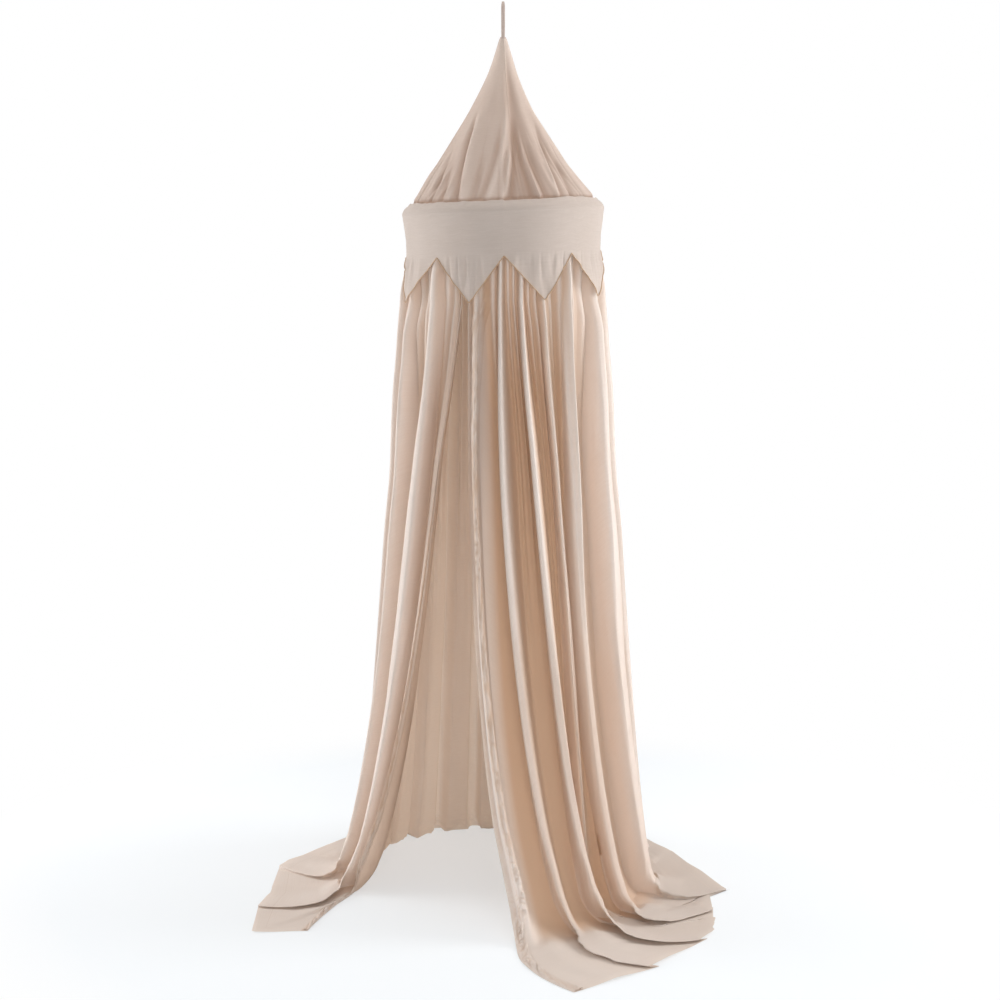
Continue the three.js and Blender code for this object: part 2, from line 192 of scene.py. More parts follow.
# %% Camera
scene = bpy.context.scene
FLOOR = -2.190  # the floor lies this far under the hook
CAMERA_PLACE, CAMERA_DIP = (-0.0075, -5.0, FLOOR + 1.657), 7.9  # metres, and degrees downwards
LENS, SENSOR = 72, 36  # millimetres
camera_data = bpy.data.cameras.new("camera")
camera_data.lens, camera_data.sensor_width = LENS, SENSOR
camera = bpy.data.objects.new("camera", camera_data)
camera.location = CAMERA_PLACE
camera.rotation_euler = (math.radians(90 - CAMERA_DIP), 0, 0)
scene.collection.objects.link(camera)
scene.camera = camera
scene.view_settings.view_transform = "Standard"
print("camera looks down by", CAMERA_DIP, "degrees")


# %% [markdown]
# ## Colours and nodes
# Colours are written as the numbers of a colour picker, and Blender wants them linear. One small
# helper does that, and the others add a node with its links in one line.

# %% Helpers for colours and nodes
def shade(red, green, blue):
    parts = [c / 255 for c in (red, green, blue)]
    return [c / 12.92 if c <= 0.04045 else ((c + 0.055) / 1.055) ** 2.4 for c in parts] + [1]


def new_finish(name):
    finish = bpy.data.materials.new(name)
    finish.use_nodes = True
    finish.node_tree.nodes.clear()
    return finish


def node(finish, kind, inputs=None, **settings):
    """A new node's outputs. Each input is a value, or another node's output to link to it."""
    made = finish.node_tree.nodes.new("ShaderNode" + kind)
    for key, value in settings.items():
        setattr(made, key, value)
    for key, value in (inputs or {}).items():
        if isinstance(value, bpy.types.NodeSocket):
            finish.node_tree.links.new(value, made.inputs[key])
        else:
            made.inputs[key].default_value = value
    return made.outputs


def calculate(finish, operation, *values):
    return node(finish, "Math", dict(enumerate(values)), operation=operation)[0]


def mixed_colour(finish, share, a, b):
    return node(finish, "Mix", {"Factor": share, "A": a, "B": b}, data_type="RGBA")["Result"]


def noise(finish, vector, scale, detail, roughness=0.5):
    return node(finish, "TexNoise", {"Vector": vector, "Scale": scale, "Detail": detail,
                                     "Roughness": roughness})["Fac"]


def bump(finish, height, strength, distance, **more):
    return node(finish, "Bump", {"Height": height, "Strength": strength, "Distance": distance,
                                 **more})["Normal"]


print("a mid cloth colour is", [round(c, 3) for c in shade(209, 189, 176)])

# %% [markdown]
# ## Floor, surroundings and light
# The floor is pale and takes a soft shadow. Further out it fades into the white that only the
# camera sees, so there is no horizon. Two large soft lamps stand at the sides, a little behind
# the canopy, so that the folds are bright along their edges and the cloth lets some light
# through. One is in front, and one above for the roof and the cloth on the floor.

# %% World
WHITE = (1, 1, 1, 1)
AMBIENT = 0.33  # what the surroundings give to the object, as a share of white
world = bpy.data.worlds.new("studio")
world.use_nodes = True
world.node_tree.nodes.clear()
scene.world = world
rays = node(world, "LightPath")
seen = calculate(world, "MAXIMUM", rays["Is Camera Ray"], rays["Is Glossy Ray"])
seen = calculate(world, "MAXIMUM", seen, rays["Is Transmission Ray"])
dim = node(world, "Background", {"Color": WHITE, "Strength": AMBIENT})[0]
white = node(world, "Background", {"Color": WHITE, "Strength": 1})[0]
pick = node(world, "MixShader", {"Fac": seen, 1: dim, 2: white})[0]
node(world, "OutputWorld", {"Surface": pick})
print("world gives", AMBIENT, "of white to the object")

# %% Floor
FADE_START, FADE_END = 0.75, 1.5  # metres from the canopy's axis
LEAST_WHITE = 0.5  # share of plain white that the floor has even under the canopy
FLOOR_COLOUR, FLOOR_RADIUS = (0.875, 0.925, 0.965, 1), 9
floor_finish = new_finish("floor")
place = node(floor_finish, "TexCoord")["Object"]
spread = node(floor_finish, "VectorMath", {0: place, 1: (0, 0, 0)}, operation="DISTANCE")["Value"]
fade = node(floor_finish, "MapRange", {"Value": spread, "From Min": FADE_START,
                                       "From Max": FADE_END}, interpolation_type="SMOOTHSTEP")[0]
keep = calculate(floor_finish, "MAXIMUM", fade, LEAST_WHITE)
seen = calculate(floor_finish, "MULTIPLY", node(floor_finish, "LightPath")["Is Camera Ray"], keep)
lit = node(floor_finish, "BsdfDiffuse", {"Color": FLOOR_COLOUR})[0]
plain = node(floor_finish, "Emission", {"Color": WHITE, "Strength": 1})[0]
both = node(floor_finish, "MixShader", {"Fac": seen, 1: lit, 2: plain})[0]
node(floor_finish, "OutputMaterial", {"Surface": both})
bpy.ops.object.select_all(action="DESELECT")
bpy.ops.mesh.primitive_circle_add(vertices=96, radius=FLOOR_RADIUS, fill_type="NGON",
                                  location=(0, 0, FLOOR))
floor = bpy.context.object
floor.name = "floor"
floor.data.materials.append(floor_finish)
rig.stage(floor)
print("floor at", FLOOR)

# %% Lamps
LAMPS = [  # name, place, what it is aimed at, width, height, power in watts
    ("lamp left", (-3.0, 0.6, -0.9), (0, 0, -1.1), 1.6, 2.6, 71),
    ("lamp right", (2.9, 0.2, -0.45), (0, 0, -0.8), 1.6, 2.4, 76),
    ("lamp front", (0.3, -4.4, -0.6), (0, 0, -0.9), 2.6, 1.6, 62),
    ("lamp above", (0, 0.3, 2.2), (0, 0, -1.1), 2.4, 2.4, 47),
]
for name, place, aim, width, height, power in LAMPS:
    data = bpy.data.lights.new(name, "AREA")
    data.shape, data.size, data.size_y, data.energy = "RECTANGLE", width, height, power
    lamp = bpy.data.objects.new(name, data)
    lamp.location = place
    lamp.rotation_euler = Vector(np.subtract(aim, place)).to_track_quat("-Z", "Y").to_euler()
    scene.collection.objects.link(lamp)
print(len(LAMPS), "soft lamps")

# %% [markdown]
# ## Sizes
# These are the sizes of the real thing, in metres. Heights are counted from the floor. A pair of
# a height and a radius is a ring of the crown, from the peak down to the tips of the points.

# %% Sizes of the hoop, roof and band
PEAK, PEAK_RADIUS = 2.106, 0.0055
SEAM, SEAM_RADIUS = 1.708, 0.226  # the roof is sewn to the band here
HOOP, HOOP_RADIUS = 1.688, 0.242
RIM, RIM_RADIUS = 1.6855, 0.2498  # the widest part of the band
VALLEY, VALLEY_RADIUS = 1.579, 0.240  # between two points of the band
TIP, TIP_RADIUS = 1.470, 0.244
CURTAIN_TOP, CURTAIN_TOP_RADIUS = 1.6808, 0.238
NECK_RADIUS, NECK_DEPTH = 0.231, 0.045  # the curtain just below its gathered top
DRAW_HEIGHT = 0.9128  # below this the front of the curtain is drawn aside
TILT = math.tan(math.radians(2))  # the hoop hangs this much out of level
ROOF_LINE = [  # the roof's outline: shares of its height, downwards, and of its spread
    (0, 0), (0.09, 0.052), (0.225, 0.128), (0.34, 0.21), (0.455, 0.305),
    (0.615, 0.49), (0.785, 0.69), (0.9, 0.845), (1, 1)]
print("hoop", 2 * HOOP_RADIUS, "m across,", HOOP, "m above the floor")

# %% Sizes of the curtain
# One row for each fold, from the left front edge round the back to the right front edge: its
# angle at the hoop, then x and y where it comes down, where it first lies flat and where it
# ends, the height at which it starts to bend outwards, and how straight it falls: with a low
# number it hangs plumb first and sweeps out lower down.
FOLDS = [
    (-24.8, (-0.346, -0.150), (-0.424, -0.310), (-0.461, -0.463), 0.18, 0.62),
    (-44.5, (-0.367, -0.100), (-0.444, -0.350), (-0.603, -0.303), 0.14, 0.64),
    (-73, (-0.392, 0.020), (-0.462, -0.140), (-0.596, 0.003), 0.09, 0.50),
    (-88, (-0.354, 0.110), (-0.440, 0.120), (-0.509, 0.161), 0.07, 0.68),
    (-105, (-0.325, 0.185), (-0.380, 0.215), (-0.434, 0.249), 0.06, 0.72),
    (-124, (-0.260, 0.250), (-0.300, 0.310), (-0.340, 0.380), 0.06, 0.70),
    (-144, (-0.174, 0.305), (-0.195, 0.380), (-0.220, 0.460), 0.06, 0.68),
    (-164, (-0.080, 0.332), (-0.085, 0.410), (-0.090, 0.500), 0.06, 0.68),
    (-184, (0.018, 0.340), (0.025, 0.420), (0.040, 0.510), 0.06, 0.68),
    (-204, (0.116, 0.325), (0.138, 0.400), (0.165, 0.480), 0.06, 0.68),
    (-224, (0.205, 0.283), (0.240, 0.340), (0.285, 0.410), 0.06, 0.68),
    (-245, (0.278, 0.210), (0.325, 0.245), (0.385, 0.300), 0.06, 0.68),
    (-266, (0.345, 0.100), (0.385, 0.095), (0.457, 0.127), 0.06, 0.85),
    (-290.3, (0.350, -0.140), (0.432, -0.290), (0.558, -0.177), 0.07, 0.56),
    (-317.7, (0.290, -0.320), (0.351, -0.480), (0.513, -0.345), 0.11, 0.38),
    (-333.5, (0.215, -0.345), (0.335, -0.510), (0.498, -0.483), 0.13, 1.00),
    (-349, (0.214, -0.390), (0.309, -0.600), (0.456, -0.548), 0.16, 0.75),
    (-361.5, (0.150, -0.440), (0.183, -0.665), (0.321, -0.717), 0.20, 0.40),
    (-381.4, (0.024, -0.489), (0.040, -0.730), (0.153, -0.846), 0.24, 0.16),
]
ANGLE, FOOT, LAND, HEM, BEND, STRAIGHT = range(6)  # the columns of that table
LEFT_SEAM, BACK_LEFT_SEAM, BACK_RIGHT_SEAM, RIGHT_SEAM = 2.5, 5.5, 9.5, 13.5
BACK_FOLD, LAST_FOLD = 9, len(FOLDS) - 1
TURN, LIE = 0.5, 0.8  # shares of the way down where a fold starts to bend and lies flat
WIDTH_PER_FOLD = 0.185  # metres of cloth in each fold at the hem
HEM_AT, HEM_WIDTH = 2.0, 0.038  # the hem's edge on the UV map, and the stitches above it
print(LAST_FOLD + 1, "folds")


# %% [markdown]
# ## Helpers for cloth
# Cloth is never regular, so the folds wander a little and small creases come and go. Soft noise
# gives that: random numbers on a coarse net, from a fixed seed, with smooth steps between them.

# %% Smooth steps, curves and soft noise
def ramp(value, start, end):
    """0 before start, 1 after end, and a smooth rise between them."""
    t = np.clip((value - start) / (end - start), 0, 1)
    return t * t * (3 - 2 * t)


def mix(a, b, share):
    return a + (b - a) * share


def through(values, place):
    """A smooth curve through values that stand at 0, 1, 2 and so on, read at any place."""
    values = np.asarray(values, float)
    i = np.clip(np.floor(place), 0, len(values) - 2).astype(int)
    t = place - i
    a, b, c, d = (values[np.clip(i + n, 0, len(values) - 1)] for n in (-1, 0, 1, 2))
    return b + 0.5 * t * (c - a + t * (2 * a - 5 * b + 4 * c - d + t * (3 * (b - c) + d - a)))


def soft_noise(seed, across, down):
    """From -1 to 1, with about one wave in two units either way."""
    size = 257
    net = np.random.default_rng(seed).uniform(-1, 1, (size, size))
    i, j = np.floor(across).astype(int), np.floor(down).astype(int)
    s, t = across - i, down - j
    s, t = s * s * (3 - 2 * s), t * t * (3 - 2 * t)
    near = mix(net[j % size, i % size], net[j % size, (i + 1) % size], s)
    far = mix(net[(j + 1) % size, i % size], net[(j + 1) % size, (i + 1) % size], s)
    return mix(near, far, t)


def bell(value, width=1):
    """1 at nought, falling off to 0 on both sides. On noise it makes narrow lines."""
    return np.exp(-(value / width) ** 2)


def unit(vectors):
    return vectors / np.maximum(np.linalg.norm(vectors, axis=-1, keepdims=True), 1e-9)


def from_front(angle):
    """The same angle between -180 and 180 degrees, with the front at 0 and left negative."""
    return (angle + 180) % 360 - 180


def around(degrees, radius, height):
    turn = np.radians(degrees)
    return np.stack([radius * np.sin(turn), -radius * np.cos(turn),
                     height + 0 * turn * radius], axis=-1)


def lean(points):
    """The hoop hangs out of level, and the cloth leans with it. Heights are above the floor."""
    z = points[..., 2]
    above = np.clip((PEAK - z) / (PEAK - SEAM), 0, 1)
    below = np.clip((z - DRAW_HEIGHT) / (TIP - DRAW_HEIGHT), 0, 1)
    points[..., 2] = z + points[..., 0] * TILT * np.where(z > SEAM, above, below)
    return points


print("noise at one place:", round(float(soft_noise(1, np.array(0.5), np.array(0.5))), 3))


# %% [markdown]
# A sheet of cloth is a net of points in rows and columns. The net becomes a mesh of four-sided
# faces, with a UV map in metres of cloth, so that the weave and the stitches keep their real
# size wherever the cloth goes. A closed ring joins its last column to its first.

# %% A net of points becomes cloth
def corners(net):
    """The values at the four corners of each face, from a net with one value at each point."""
    return np.stack([net[:-1, :-1], net[1:, :-1], net[1:, 1:], net[:-1, 1:]], axis=2)


def cloth_mesh(name, points, flat, finish, ring=False):
    index = np.arange(points[..., 0].size).reshape(points.shape[:2])
    if ring:
        beyond = np.stack([2 * flat[:, -1, 0] - flat[:, -2, 0], flat[:, 0, 1]], -1)
        flat = np.concatenate([flat, beyond[:, None]], axis=1)
        index = np.concatenate([index, index[:, :1]], axis=1)
    spots = points.reshape(-1, 3) + (0, 0, FLOOR)
    mesh = bpy.data.meshes.new(name)
    mesh.from_pydata(spots.tolist(), [], corners(index).reshape(-1, 4).tolist())
    places = corners(flat).astype(np.float32).ravel()
    mesh.uv_layers.new(name="cloth").data.foreach_set("uv", places)
    mesh.polygons.foreach_set("use_smooth", [True] * len(mesh.polygons))
    mesh.materials.append(finish)
    mesh.update()
    piece = bpy.data.objects.new(name, mesh)
    scene.collection.objects.link(piece)
    print(name, len(mesh.polygons), "faces")
    return piece


def lengths(points, axis):
    """Metres of cloth along the rows (axis 1) or down the columns (axis 0) of a net."""
    steps = np.linalg.norm(np.diff(points, axis=axis), axis=-1)
    start = np.zeros_like(np.take(steps, [0], axis=axis))
    return np.concatenate([start, np.cumsum(steps, axis=axis)], axis=axis)


def ring_places(columns, rows):
    return np.meshgrid(-np.arange(columns) * 360 / columns, rows)


def ring_of_cloth(name, surface, columns, rows, cloth_round, finish):
    """A closed ring from a surface by angle and share of the way down. Its cloth, laid out,
    is cloth_round metres long."""
    angle, down = ring_places(columns, rows)
    points = surface(angle, down)
    flat = np.stack([-angle / 360 * cloth_round, lengths(points, 0)], -1)
    return cloth_mesh(name, points, flat, finish, ring=True)


# %% [markdown]
# ## The cotton
# The curtain, roof and band are one thin cotton. Close up it shows threads both ways, some of
# them thicker, and from further off a faint unevenness. It has no gloss, only a soft sheen at
# the edges, and some light comes through it, warmer than before. So the finish mixes a plain
# surface with a little of a translucent one. Two stretched noises on the UV map are the threads.
#
# Shade is painted into the colour: deep in a fold the cloth is painted darker and warmer, and on
# the floor it is painted greyer. Two values on the points of a piece, made further down, bring in
# an inner colour for the painted shade in the folds and a lying colour for the painted shade on
# the floor.

# %% Threads and stitches
THREAD_ACROSS, THREAD_ALONG, SLUBS = 1500, 90, (18, 300)  # noise steps in a metre
STITCH_THICKNESS, STITCH_PITCH, STITCH_SHARE = 0.0006, 0.003, 0.7
STITCH_COLOUR = shade(220, 203, 190)


def threads(finish, uv, scale, detail, roughness):
    run = node(finish, "Mapping", {"Vector": uv, "Scale": (*scale, 1)})[0]
    return noise(finish, run, 1, detail, roughness)


def stitch_line(finish, uv, colour_in, distance):
    """A row of stitches across the cloth, at a distance down its UV map."""
    spread = node(finish, "SeparateXYZ", {"Vector": uv})
    off = calculate(finish, "ABSOLUTE", calculate(finish, "SUBTRACT", spread["Y"], distance))
    line = calculate(finish, "LESS_THAN", off, STITCH_THICKNESS)
    turns = calculate(finish, "MULTIPLY", spread["X"], 1 / STITCH_PITCH)
    dash = calculate(finish, "LESS_THAN", calculate(finish, "FRACT", turns), STITCH_SHARE)
    return mixed_colour(finish, calculate(finish, "MULTIPLY", line, dash), colour_in, STITCH_COLOUR)


print("a stitch is", STITCH_PITCH * STITCH_SHARE, "m long")


# %% Cotton finish
def cotton(name, colour, dark, through_share, inner=None, lying=None, stitches_at=None):
    finish = new_finish(name)
    uv, place = node(finish, "UVMap", uv_map="cloth")["UV"], node(finish, "TexCoord")["Object"]
    weft = threads(finish, uv, (THREAD_ACROSS, THREAD_ALONG), 1, 0.6)
    warp = threads(finish, uv, (THREAD_ALONG, THREAD_ACROSS), 1, 0.6)
    weave = calculate(finish, "ADD", weft, warp)
    uneven = calculate(finish, "MULTIPLY_ADD", weave, threads(finish, uv, SLUBS, 2, 0.5),
                       noise(finish, place, 7, 3, 0.55))
    level = node(finish, "MapRange", {"Value": uneven, "From Min": 0.6, "From Max": 1.5})[0]
    colour_out = mixed_colour(finish, level, dark, colour)
    # inner and lying are painted shade: in folds and creases, and on the cloth that lies on the floor
    for layer, tone in (("inner", inner), ("lying", lying)):
        if tone is not None:
            amount = node(finish, "Attribute", attribute_name=layer)["Fac"]
            colour_out = mixed_colour(finish, amount, colour_out, tone)
    if stitches_at is not None:
        colour_out = stitch_line(finish, uv, colour_out, stitches_at)
    grain = bump(finish, weave, 0.25, 0.0004)
    soft = bump(finish, noise(finish, place, 26, 3), 0.3, 0.0035, Normal=grain)
    surface = node(finish, "BsdfPrincipled",
                   {"Base Color": colour_out, "Normal": soft, "Roughness": 0.88,
                    "Specular IOR Level": 0.15, "Sheen Weight": 0.08, "Sheen Roughness": 0.55})[0]
    shining = node(finish, "BsdfTranslucent", {"Color": CLOTH_GLOW, "Normal": soft})[0]
    both = node(finish, "MixShader", {"Fac": through_share, 1: surface, 2: shining})[0]
    node(finish, "OutputMaterial", {"Surface": both})
    return finish


# The inner colours below are painted shade in folds and creases, and the lying colour is painted shade on the cloth
# that lies on the floor.
CLOTH_GLOW, PAINTED_FLOOR_SHADE_COLOUR = shade(232, 213, 192), shade(209, 197, 188)
curtain_cotton = cotton("curtain cotton", shade(242, 231, 223), shade(234, 220, 210), 0.18,
                        inner=shade(208, 174, 146), lying=PAINTED_FLOOR_SHADE_COLOUR,
                        stitches_at=HEM_AT - HEM_WIDTH)
facing_cotton = cotton("facing cotton", shade(240, 229, 221), shade(231, 217, 207), 0.16,
                       inner=shade(205, 172, 145), lying=PAINTED_FLOOR_SHADE_COLOUR)
roof_cotton = cotton("roof cotton", shade(228, 213, 203), shade(216, 199, 187), 0.2,
                     inner=shade(176, 150, 135))
# The band's cotton is the same cloth painted darker: painted shade, set against the stronger light that the lamps give
# the band.
band_cotton = cotton("band cotton", shade(209, 196, 187), shade(197, 183, 173), 0.12)
print("four cottons")


# %% [markdown]
# ## The curtain's surface
# Seen from above, the gathered top of the curtain is a circle with small even gathers. Lower
# down the gathers run together into deep folds, nineteen in all. The front ones are carried out
# over the floor and the cloth there lies in flat flaps, each lapping over the one in front of it.
#
# A simulation would not land each fold where the real one lies. So the surface is worked out
# instead: a smooth middle surface from the fold table, and on it a wave with narrow ridges that
# lean towards the nearer front edge. They are pushed sideways as well as outwards, so they lap
# over their neighbours.

# %% The band's pointed edge, which holds the curtain in
# Angle from the front, and 0 for a valley or 1 for a tip. The points behind are even.
FRONT_EDGE = [(-70, 1), (-41.5, 0), (-19.5, 1), (0.5, 0), (24, 1), (43, 0), (69, 1)]
BACK_EDGE = [(22.5 * i, i % 2) for i in range(5)]
EDGE_LINE = ([(angle - 180, end) for angle, end in BACK_EDGE] + FRONT_EDGE
             + [(angle + 90, end) for angle, end in BACK_EDGE])
BLUNT_SHARE = 0.985  # the sewn tips are a little blunt


def edge_height(angle):
    share = np.interp(from_front(angle), *np.array(EDGE_LINE).T)
    return VALLEY - (VALLEY - TIP) * np.minimum(share, BLUNT_SHARE)


print("the points hang", round(VALLEY - TIP, 3), "m below the valleys")


# %% Middle surface of the curtain
# At the hem the flaps end in corners: fold number, x and y in metres
HEM_CORNERS = [
    (0, -0.461, -0.463), (0.45, -0.592, -0.476), (1, -0.598, -0.303), (1.5, -0.582, -0.222),
    (2, -0.579, 0.003), (2.4, -0.562, 0.052), (3, -0.495, 0.161),
    *[(n, *FOLDS[n][HEM]) for n in range(4, 11)], (11, 0.370, 0.300), (12, 0.405, 0.214),
    (12.25, 0.454, 0.127), (12.6, 0.505, -0.029), (12.9, 0.550, -0.162), (13, 0.558, -0.177),
    (13.4, 0.512, -0.215), (14, 0.508, -0.345), (14.6, 0.500, -0.425), (15, 0.492, -0.462),
    (15.5, 0.484, -0.495), (16, 0.452, -0.548), (17, 0.321, -0.717), (18, 0.153, -0.846),
]


def of_fold(column, fold):
    """A column of the fold table at any fold number."""
    return through([row[column] for row in FOLDS], fold)


def floor_point(column, fold):
    x, y = (through([row[column][axis] for row in FOLDS], fold) for axis in (0, 1))
    return np.stack([x, y, 0 * fold], -1)


def curtain_middle(fold, down):
    """Points of the middle surface, and how far they hang below its top."""
    foot, land, hem = (floor_point(column, fold) for column in (FOOT, LAND, HEM))
    knots, x, y = np.array(HEM_CORNERS).T
    corner = np.stack([np.interp(fold, knots, x), np.interp(fold, knots, y), 0 * fold], -1)
    hem = mix(hem, corner, ramp(down, 0.7, 0.97)[..., None])
    drop = np.minimum(down, TURN) / TURN * (CURTAIN_TOP - of_fold(BEND, fold))
    fall = np.clip((drop - (CURTAIN_TOP - TIP)) / TIP, 0, 1)
    straight = of_fold(STRAIGHT, fold)
    spread = straight * fall + (1 - straight) * fall ** 4
    angle = of_fold(ANGLE, fold)
    side = np.sin(np.radians(angle))
    held = CURTAIN_TOP - edge_height(angle)  # the crown band holds it in as far as this
    swell = 0.010 * ramp(drop, 0.06, 0.17) + 0.015 * ramp(drop, held - 0.015, held + 0.09)
    swell = swell * side ** 2 * (1 - ramp(drop, 0.4, 0.7))
    neck = mix(CURTAIN_TOP_RADIUS, NECK_RADIUS, ramp(drop, 0, NECK_DEPTH)) + swell
    hanging = around(angle, neck, 0)
    point = mix(hanging, foot, spread[..., None])
    forward = 0.68 * fall + 0.32 * fall ** 4  # it comes forward sooner than it goes sideways
    point[..., 1] = mix(hanging[..., 1], foot[..., 1], forward)
    point[..., 2] = CURTAIN_TOP - drop
    t = np.clip((down - TURN) / (LIE - TURN), 0, 1)[..., None]
    halfway = (foot + land) / 2
    bent = mix(mix(point, foot, t), mix(foot, halfway, t), t)
    t = np.clip((down - LIE) / (1 - LIE), 0, 1)[..., None]
    flat = mix(mix(halfway, land, t), mix(land, hem, t), t)
    return np.where((down > LIE)[..., None], flat, bent), drop


# %% [markdown]
# A fold is a ridge where it hangs and a tongue where it lies. Both are a cosine of the fold
# number, squared off by a smooth step: the higher the step starts, the narrower the ridge.
# A little noise moves the ridges, so that no two folds are alike.

# %% Folds on the middle surface
FOLD_DEPTH = 0.033  # half the depth of a hanging fold
LEFT_TURN_BACK, RIGHT_TURN_BACK = 0.24, 0.34  # shares of a fold that turn back at the front edges
TONGUE_LEAD = 0.19  # share of a fold that a tongue lies ahead of its ridge
LESSER_FOLDS = [(13.4, 1), (15, 0.5), (15.6, 1)]  # the fold at 15 is a shallow one


def from_edge(fold):
    """Folds from the nearer front edge."""
    return np.minimum(fold, LAST_FOLD - fold)


def to_front(fold):
    """Which way the nearer front edge lies: -1 on the left, 1 on the right, 0 at the back."""
    return np.sign(fold - BACK_FOLD) * ramp(np.abs(fold - BACK_FOLD), 2, 5)


def fold_waves(fold, down, drop):
    """From 0 to 1: the hanging ridges, the lying tongues, the small gathers, and the lit side of the ridges, outside
    which shade is painted in the valleys.
    """
    wander = 0.06 * soft_noise(3, fold * 0.7, down * 4) * ramp(drop, 0.1, 0.6)
    wander *= ramp(from_edge(fold), 0, 0.6)
    wander += RIGHT_TURN_BACK * ramp(fold, 16.9, LAST_FOLD)
    wander -= LEFT_TURN_BACK * (1 - ramp(fold, 0, 1.1))
    turn = np.cos(2 * np.pi * (fold + wander))
    depth = np.interp(fold, *np.array(LESSER_FOLDS).T)
    ridge = ramp(turn + 0.16 * soft_noise(4, fold * 1.1, down * 3), 0.32, 0.86) * depth
    edge_hold = 0.82 * (1 - ramp(fold, 0.1, 0.35)) + 0.6 * ramp(fold, 17.45, 17.7)
    ridge = np.maximum(ridge, edge_hold)
    behind_lip = fold + wander + TONGUE_LEAD * to_front(fold)
    tongue = ramp(np.cos(2 * np.pi * behind_lip), -0.7, 0.35)
    tongue *= 1 - ramp(fold, 14.3, 14.6) * (1 - ramp(fold, 15.3, 15.6))
    small_at = fold * 3 + 0.3 * soft_noise(6, fold * 1.9, down * 1.6)
    gather = ramp(np.cos(2 * np.pi * small_at), -0.4, 1)
    # The lit side of the ridges, set a little to one side; the valleys away from it get painted shade, and the right
    # front edge counts as lit.
    lit_at = fold + wander - 0.035 * np.sign(fold - BACK_FOLD)
    bright = ramp(np.cos(2 * np.pi * lit_at), 0.3, 0.85)
    bright = bright * (0.4 + 0.6 * depth) * mix(0.3, 1, ramp(fold, 0.4, 0.8))
    bright = np.maximum(bright, 0.9 * ramp(fold, 17.4, 17.6))
    return ridge, tongue, gather, bright


print("tongues lie", TONGUE_LEAD, "of a fold ahead of their ridges")


# %% How far the hanging cloth stands out
GATHER_DEPTH = 0.021


def hanging_push(fold, down, drop, ridge, gather, size):
    """Metres outwards from the middle surface: the deep folds, and the gathers at the top."""
    strength = 0.65 + 0.35 * soft_noise(7, fold * 3.1, down * 2)
    fade = 1 - ramp(drop + 0.3 * soft_noise(8, fold * 1.5, 0 * down), 0.15, 1.0)
    free = mix(0.5, 1, ramp(drop, 0.18, 0.3))  # less inside the crown band
    small = GATHER_DEPTH * (gather - 0.35) * strength * ramp(drop, 0, 0.12) * fade * free
    depth = mix(mix(0.0035, 0.012, ramp(drop, 0.03, 0.2)), FOLD_DEPTH, ramp(drop, 0.15, 0.6))
    flank = np.sin(np.radians(of_fold(ANGLE, fold))) ** 2
    inward = (depth + 0.002) * (1 - ramp(drop, 0.21 - 0.05 * flank, 0.6 + 0.25 * flank))
    return (2 * ridge - 1) * depth * size - inward + small


print("gathers at the top are", GATHER_DEPTH, "m deep")

# %% Points of the curtain
FLAP_RISE, FLAP_EDGE_RISE = 0.026, 0.006  # a tongue's height where it starts and at the hem
THICKNESS = 0.0012  # the cloth lies this far off the floor
LAP_HANGING, LAP_LYING = 0.030, 0.060  # how far a ridge and a tongue lean over their neighbour


def curtain_surface(fold, down, lift=0.0):
    """Points of the curtain by fold number and share of the way down, lifted off outwards."""
    step = 0.02
    middle, drop = curtain_middle(fold, down)
    sideways = unit(curtain_middle(fold + step, down)[0] - curtain_middle(fold - step, down)[0])
    low, high = np.clip(down + 0.004, 0, 1), np.clip(down - 0.004, 0, 1)
    downward = curtain_middle(fold, low)[0] - curtain_middle(fold, high)[0]
    outward = unit(np.cross(sideways, downward))
    lying = ramp(down, 0.6, 0.82)
    ridge, tongue, gather, _ = fold_waves(fold, down, drop)
    edge = from_edge(fold)
    back = ramp(fold, 3.5, 5.5) * (1 - ramp(fold, 11, 12.5))
    size = (1 + 0.2 * soft_noise(5, fold * 1.3, down * 3)) * (1 - 0.45 * back)
    crease = soft_noise(9, fold * 4 + 3 * down, down * 9) * 0.0024 * ramp(drop, 0.3, 0.9)
    lipped = 1 - ramp(fold, 2.4, 2.9) * (1 - ramp(fold, 12, 12.4))
    flaps = ramp(edge, 0.3, 0.75) * lipped  # 1 where the lying cloth has tongues
    rise = mix(FLAP_RISE, FLAP_EDGE_RISE, ramp(down, 0.74, 0.97))
    flap = rise * tongue * size * flaps + THICKNESS
    push = hanging_push(fold, down, drop, ridge, gather, size)
    push = mix(push, flap, lying) + crease * (1 - 0.5 * lying)
    crumple = soft_noise(11, fold * 2.1, down * 17) + 0.5 * soft_noise(12, fold * 5, down * 37)
    crumple *= 1 - 0.7 * ramp(down, 0.84, 0.93) * flaps
    push += mix(0.0018, 0.005, back) * crumple * ramp(down, 0.42, 0.6)
    point = middle + outward * (push + lift)[..., None]
    lap = LAP_HANGING * ramp(drop, 0.1, 0.7) * size * (ridge - 0.4) * ramp(edge, 0, 0.8)
    lap_lying = LAP_LYING * size * (tongue - 1) * flaps
    crinkle = 0.006 * soft_noise(13, fold * 1.7, down * 24)
    crinkle += 0.003 * soft_noise(14, fold * 4, down * 50)
    crinkle = crinkle * flaps * ramp(down, 0.7, 0.84) * (1 - 0.85 * ramp(down, 0.92, 0.985))
    shift = mix(lap, lap_lying, lying) * to_front(fold) + crinkle
    point = point + sideways * shift[..., None]
    point[..., 2] = np.maximum(point[..., 2], THICKNESS + lift)
    return lean(point)


print("a hanging fold is", 2 * FOLD_DEPTH, "m deep")


# %% [markdown]
# ## Five widths of cloth
# The real curtain is made of widths sewn side by side. The two at the front can be drawn, the
# others hang still. All come from the same surface, so they meet in the valley of a fold, where
# a seam hides. Each point also gets its two values of painted shade for the cotton: one deep in
# a fold, and one where it lies on the floor.

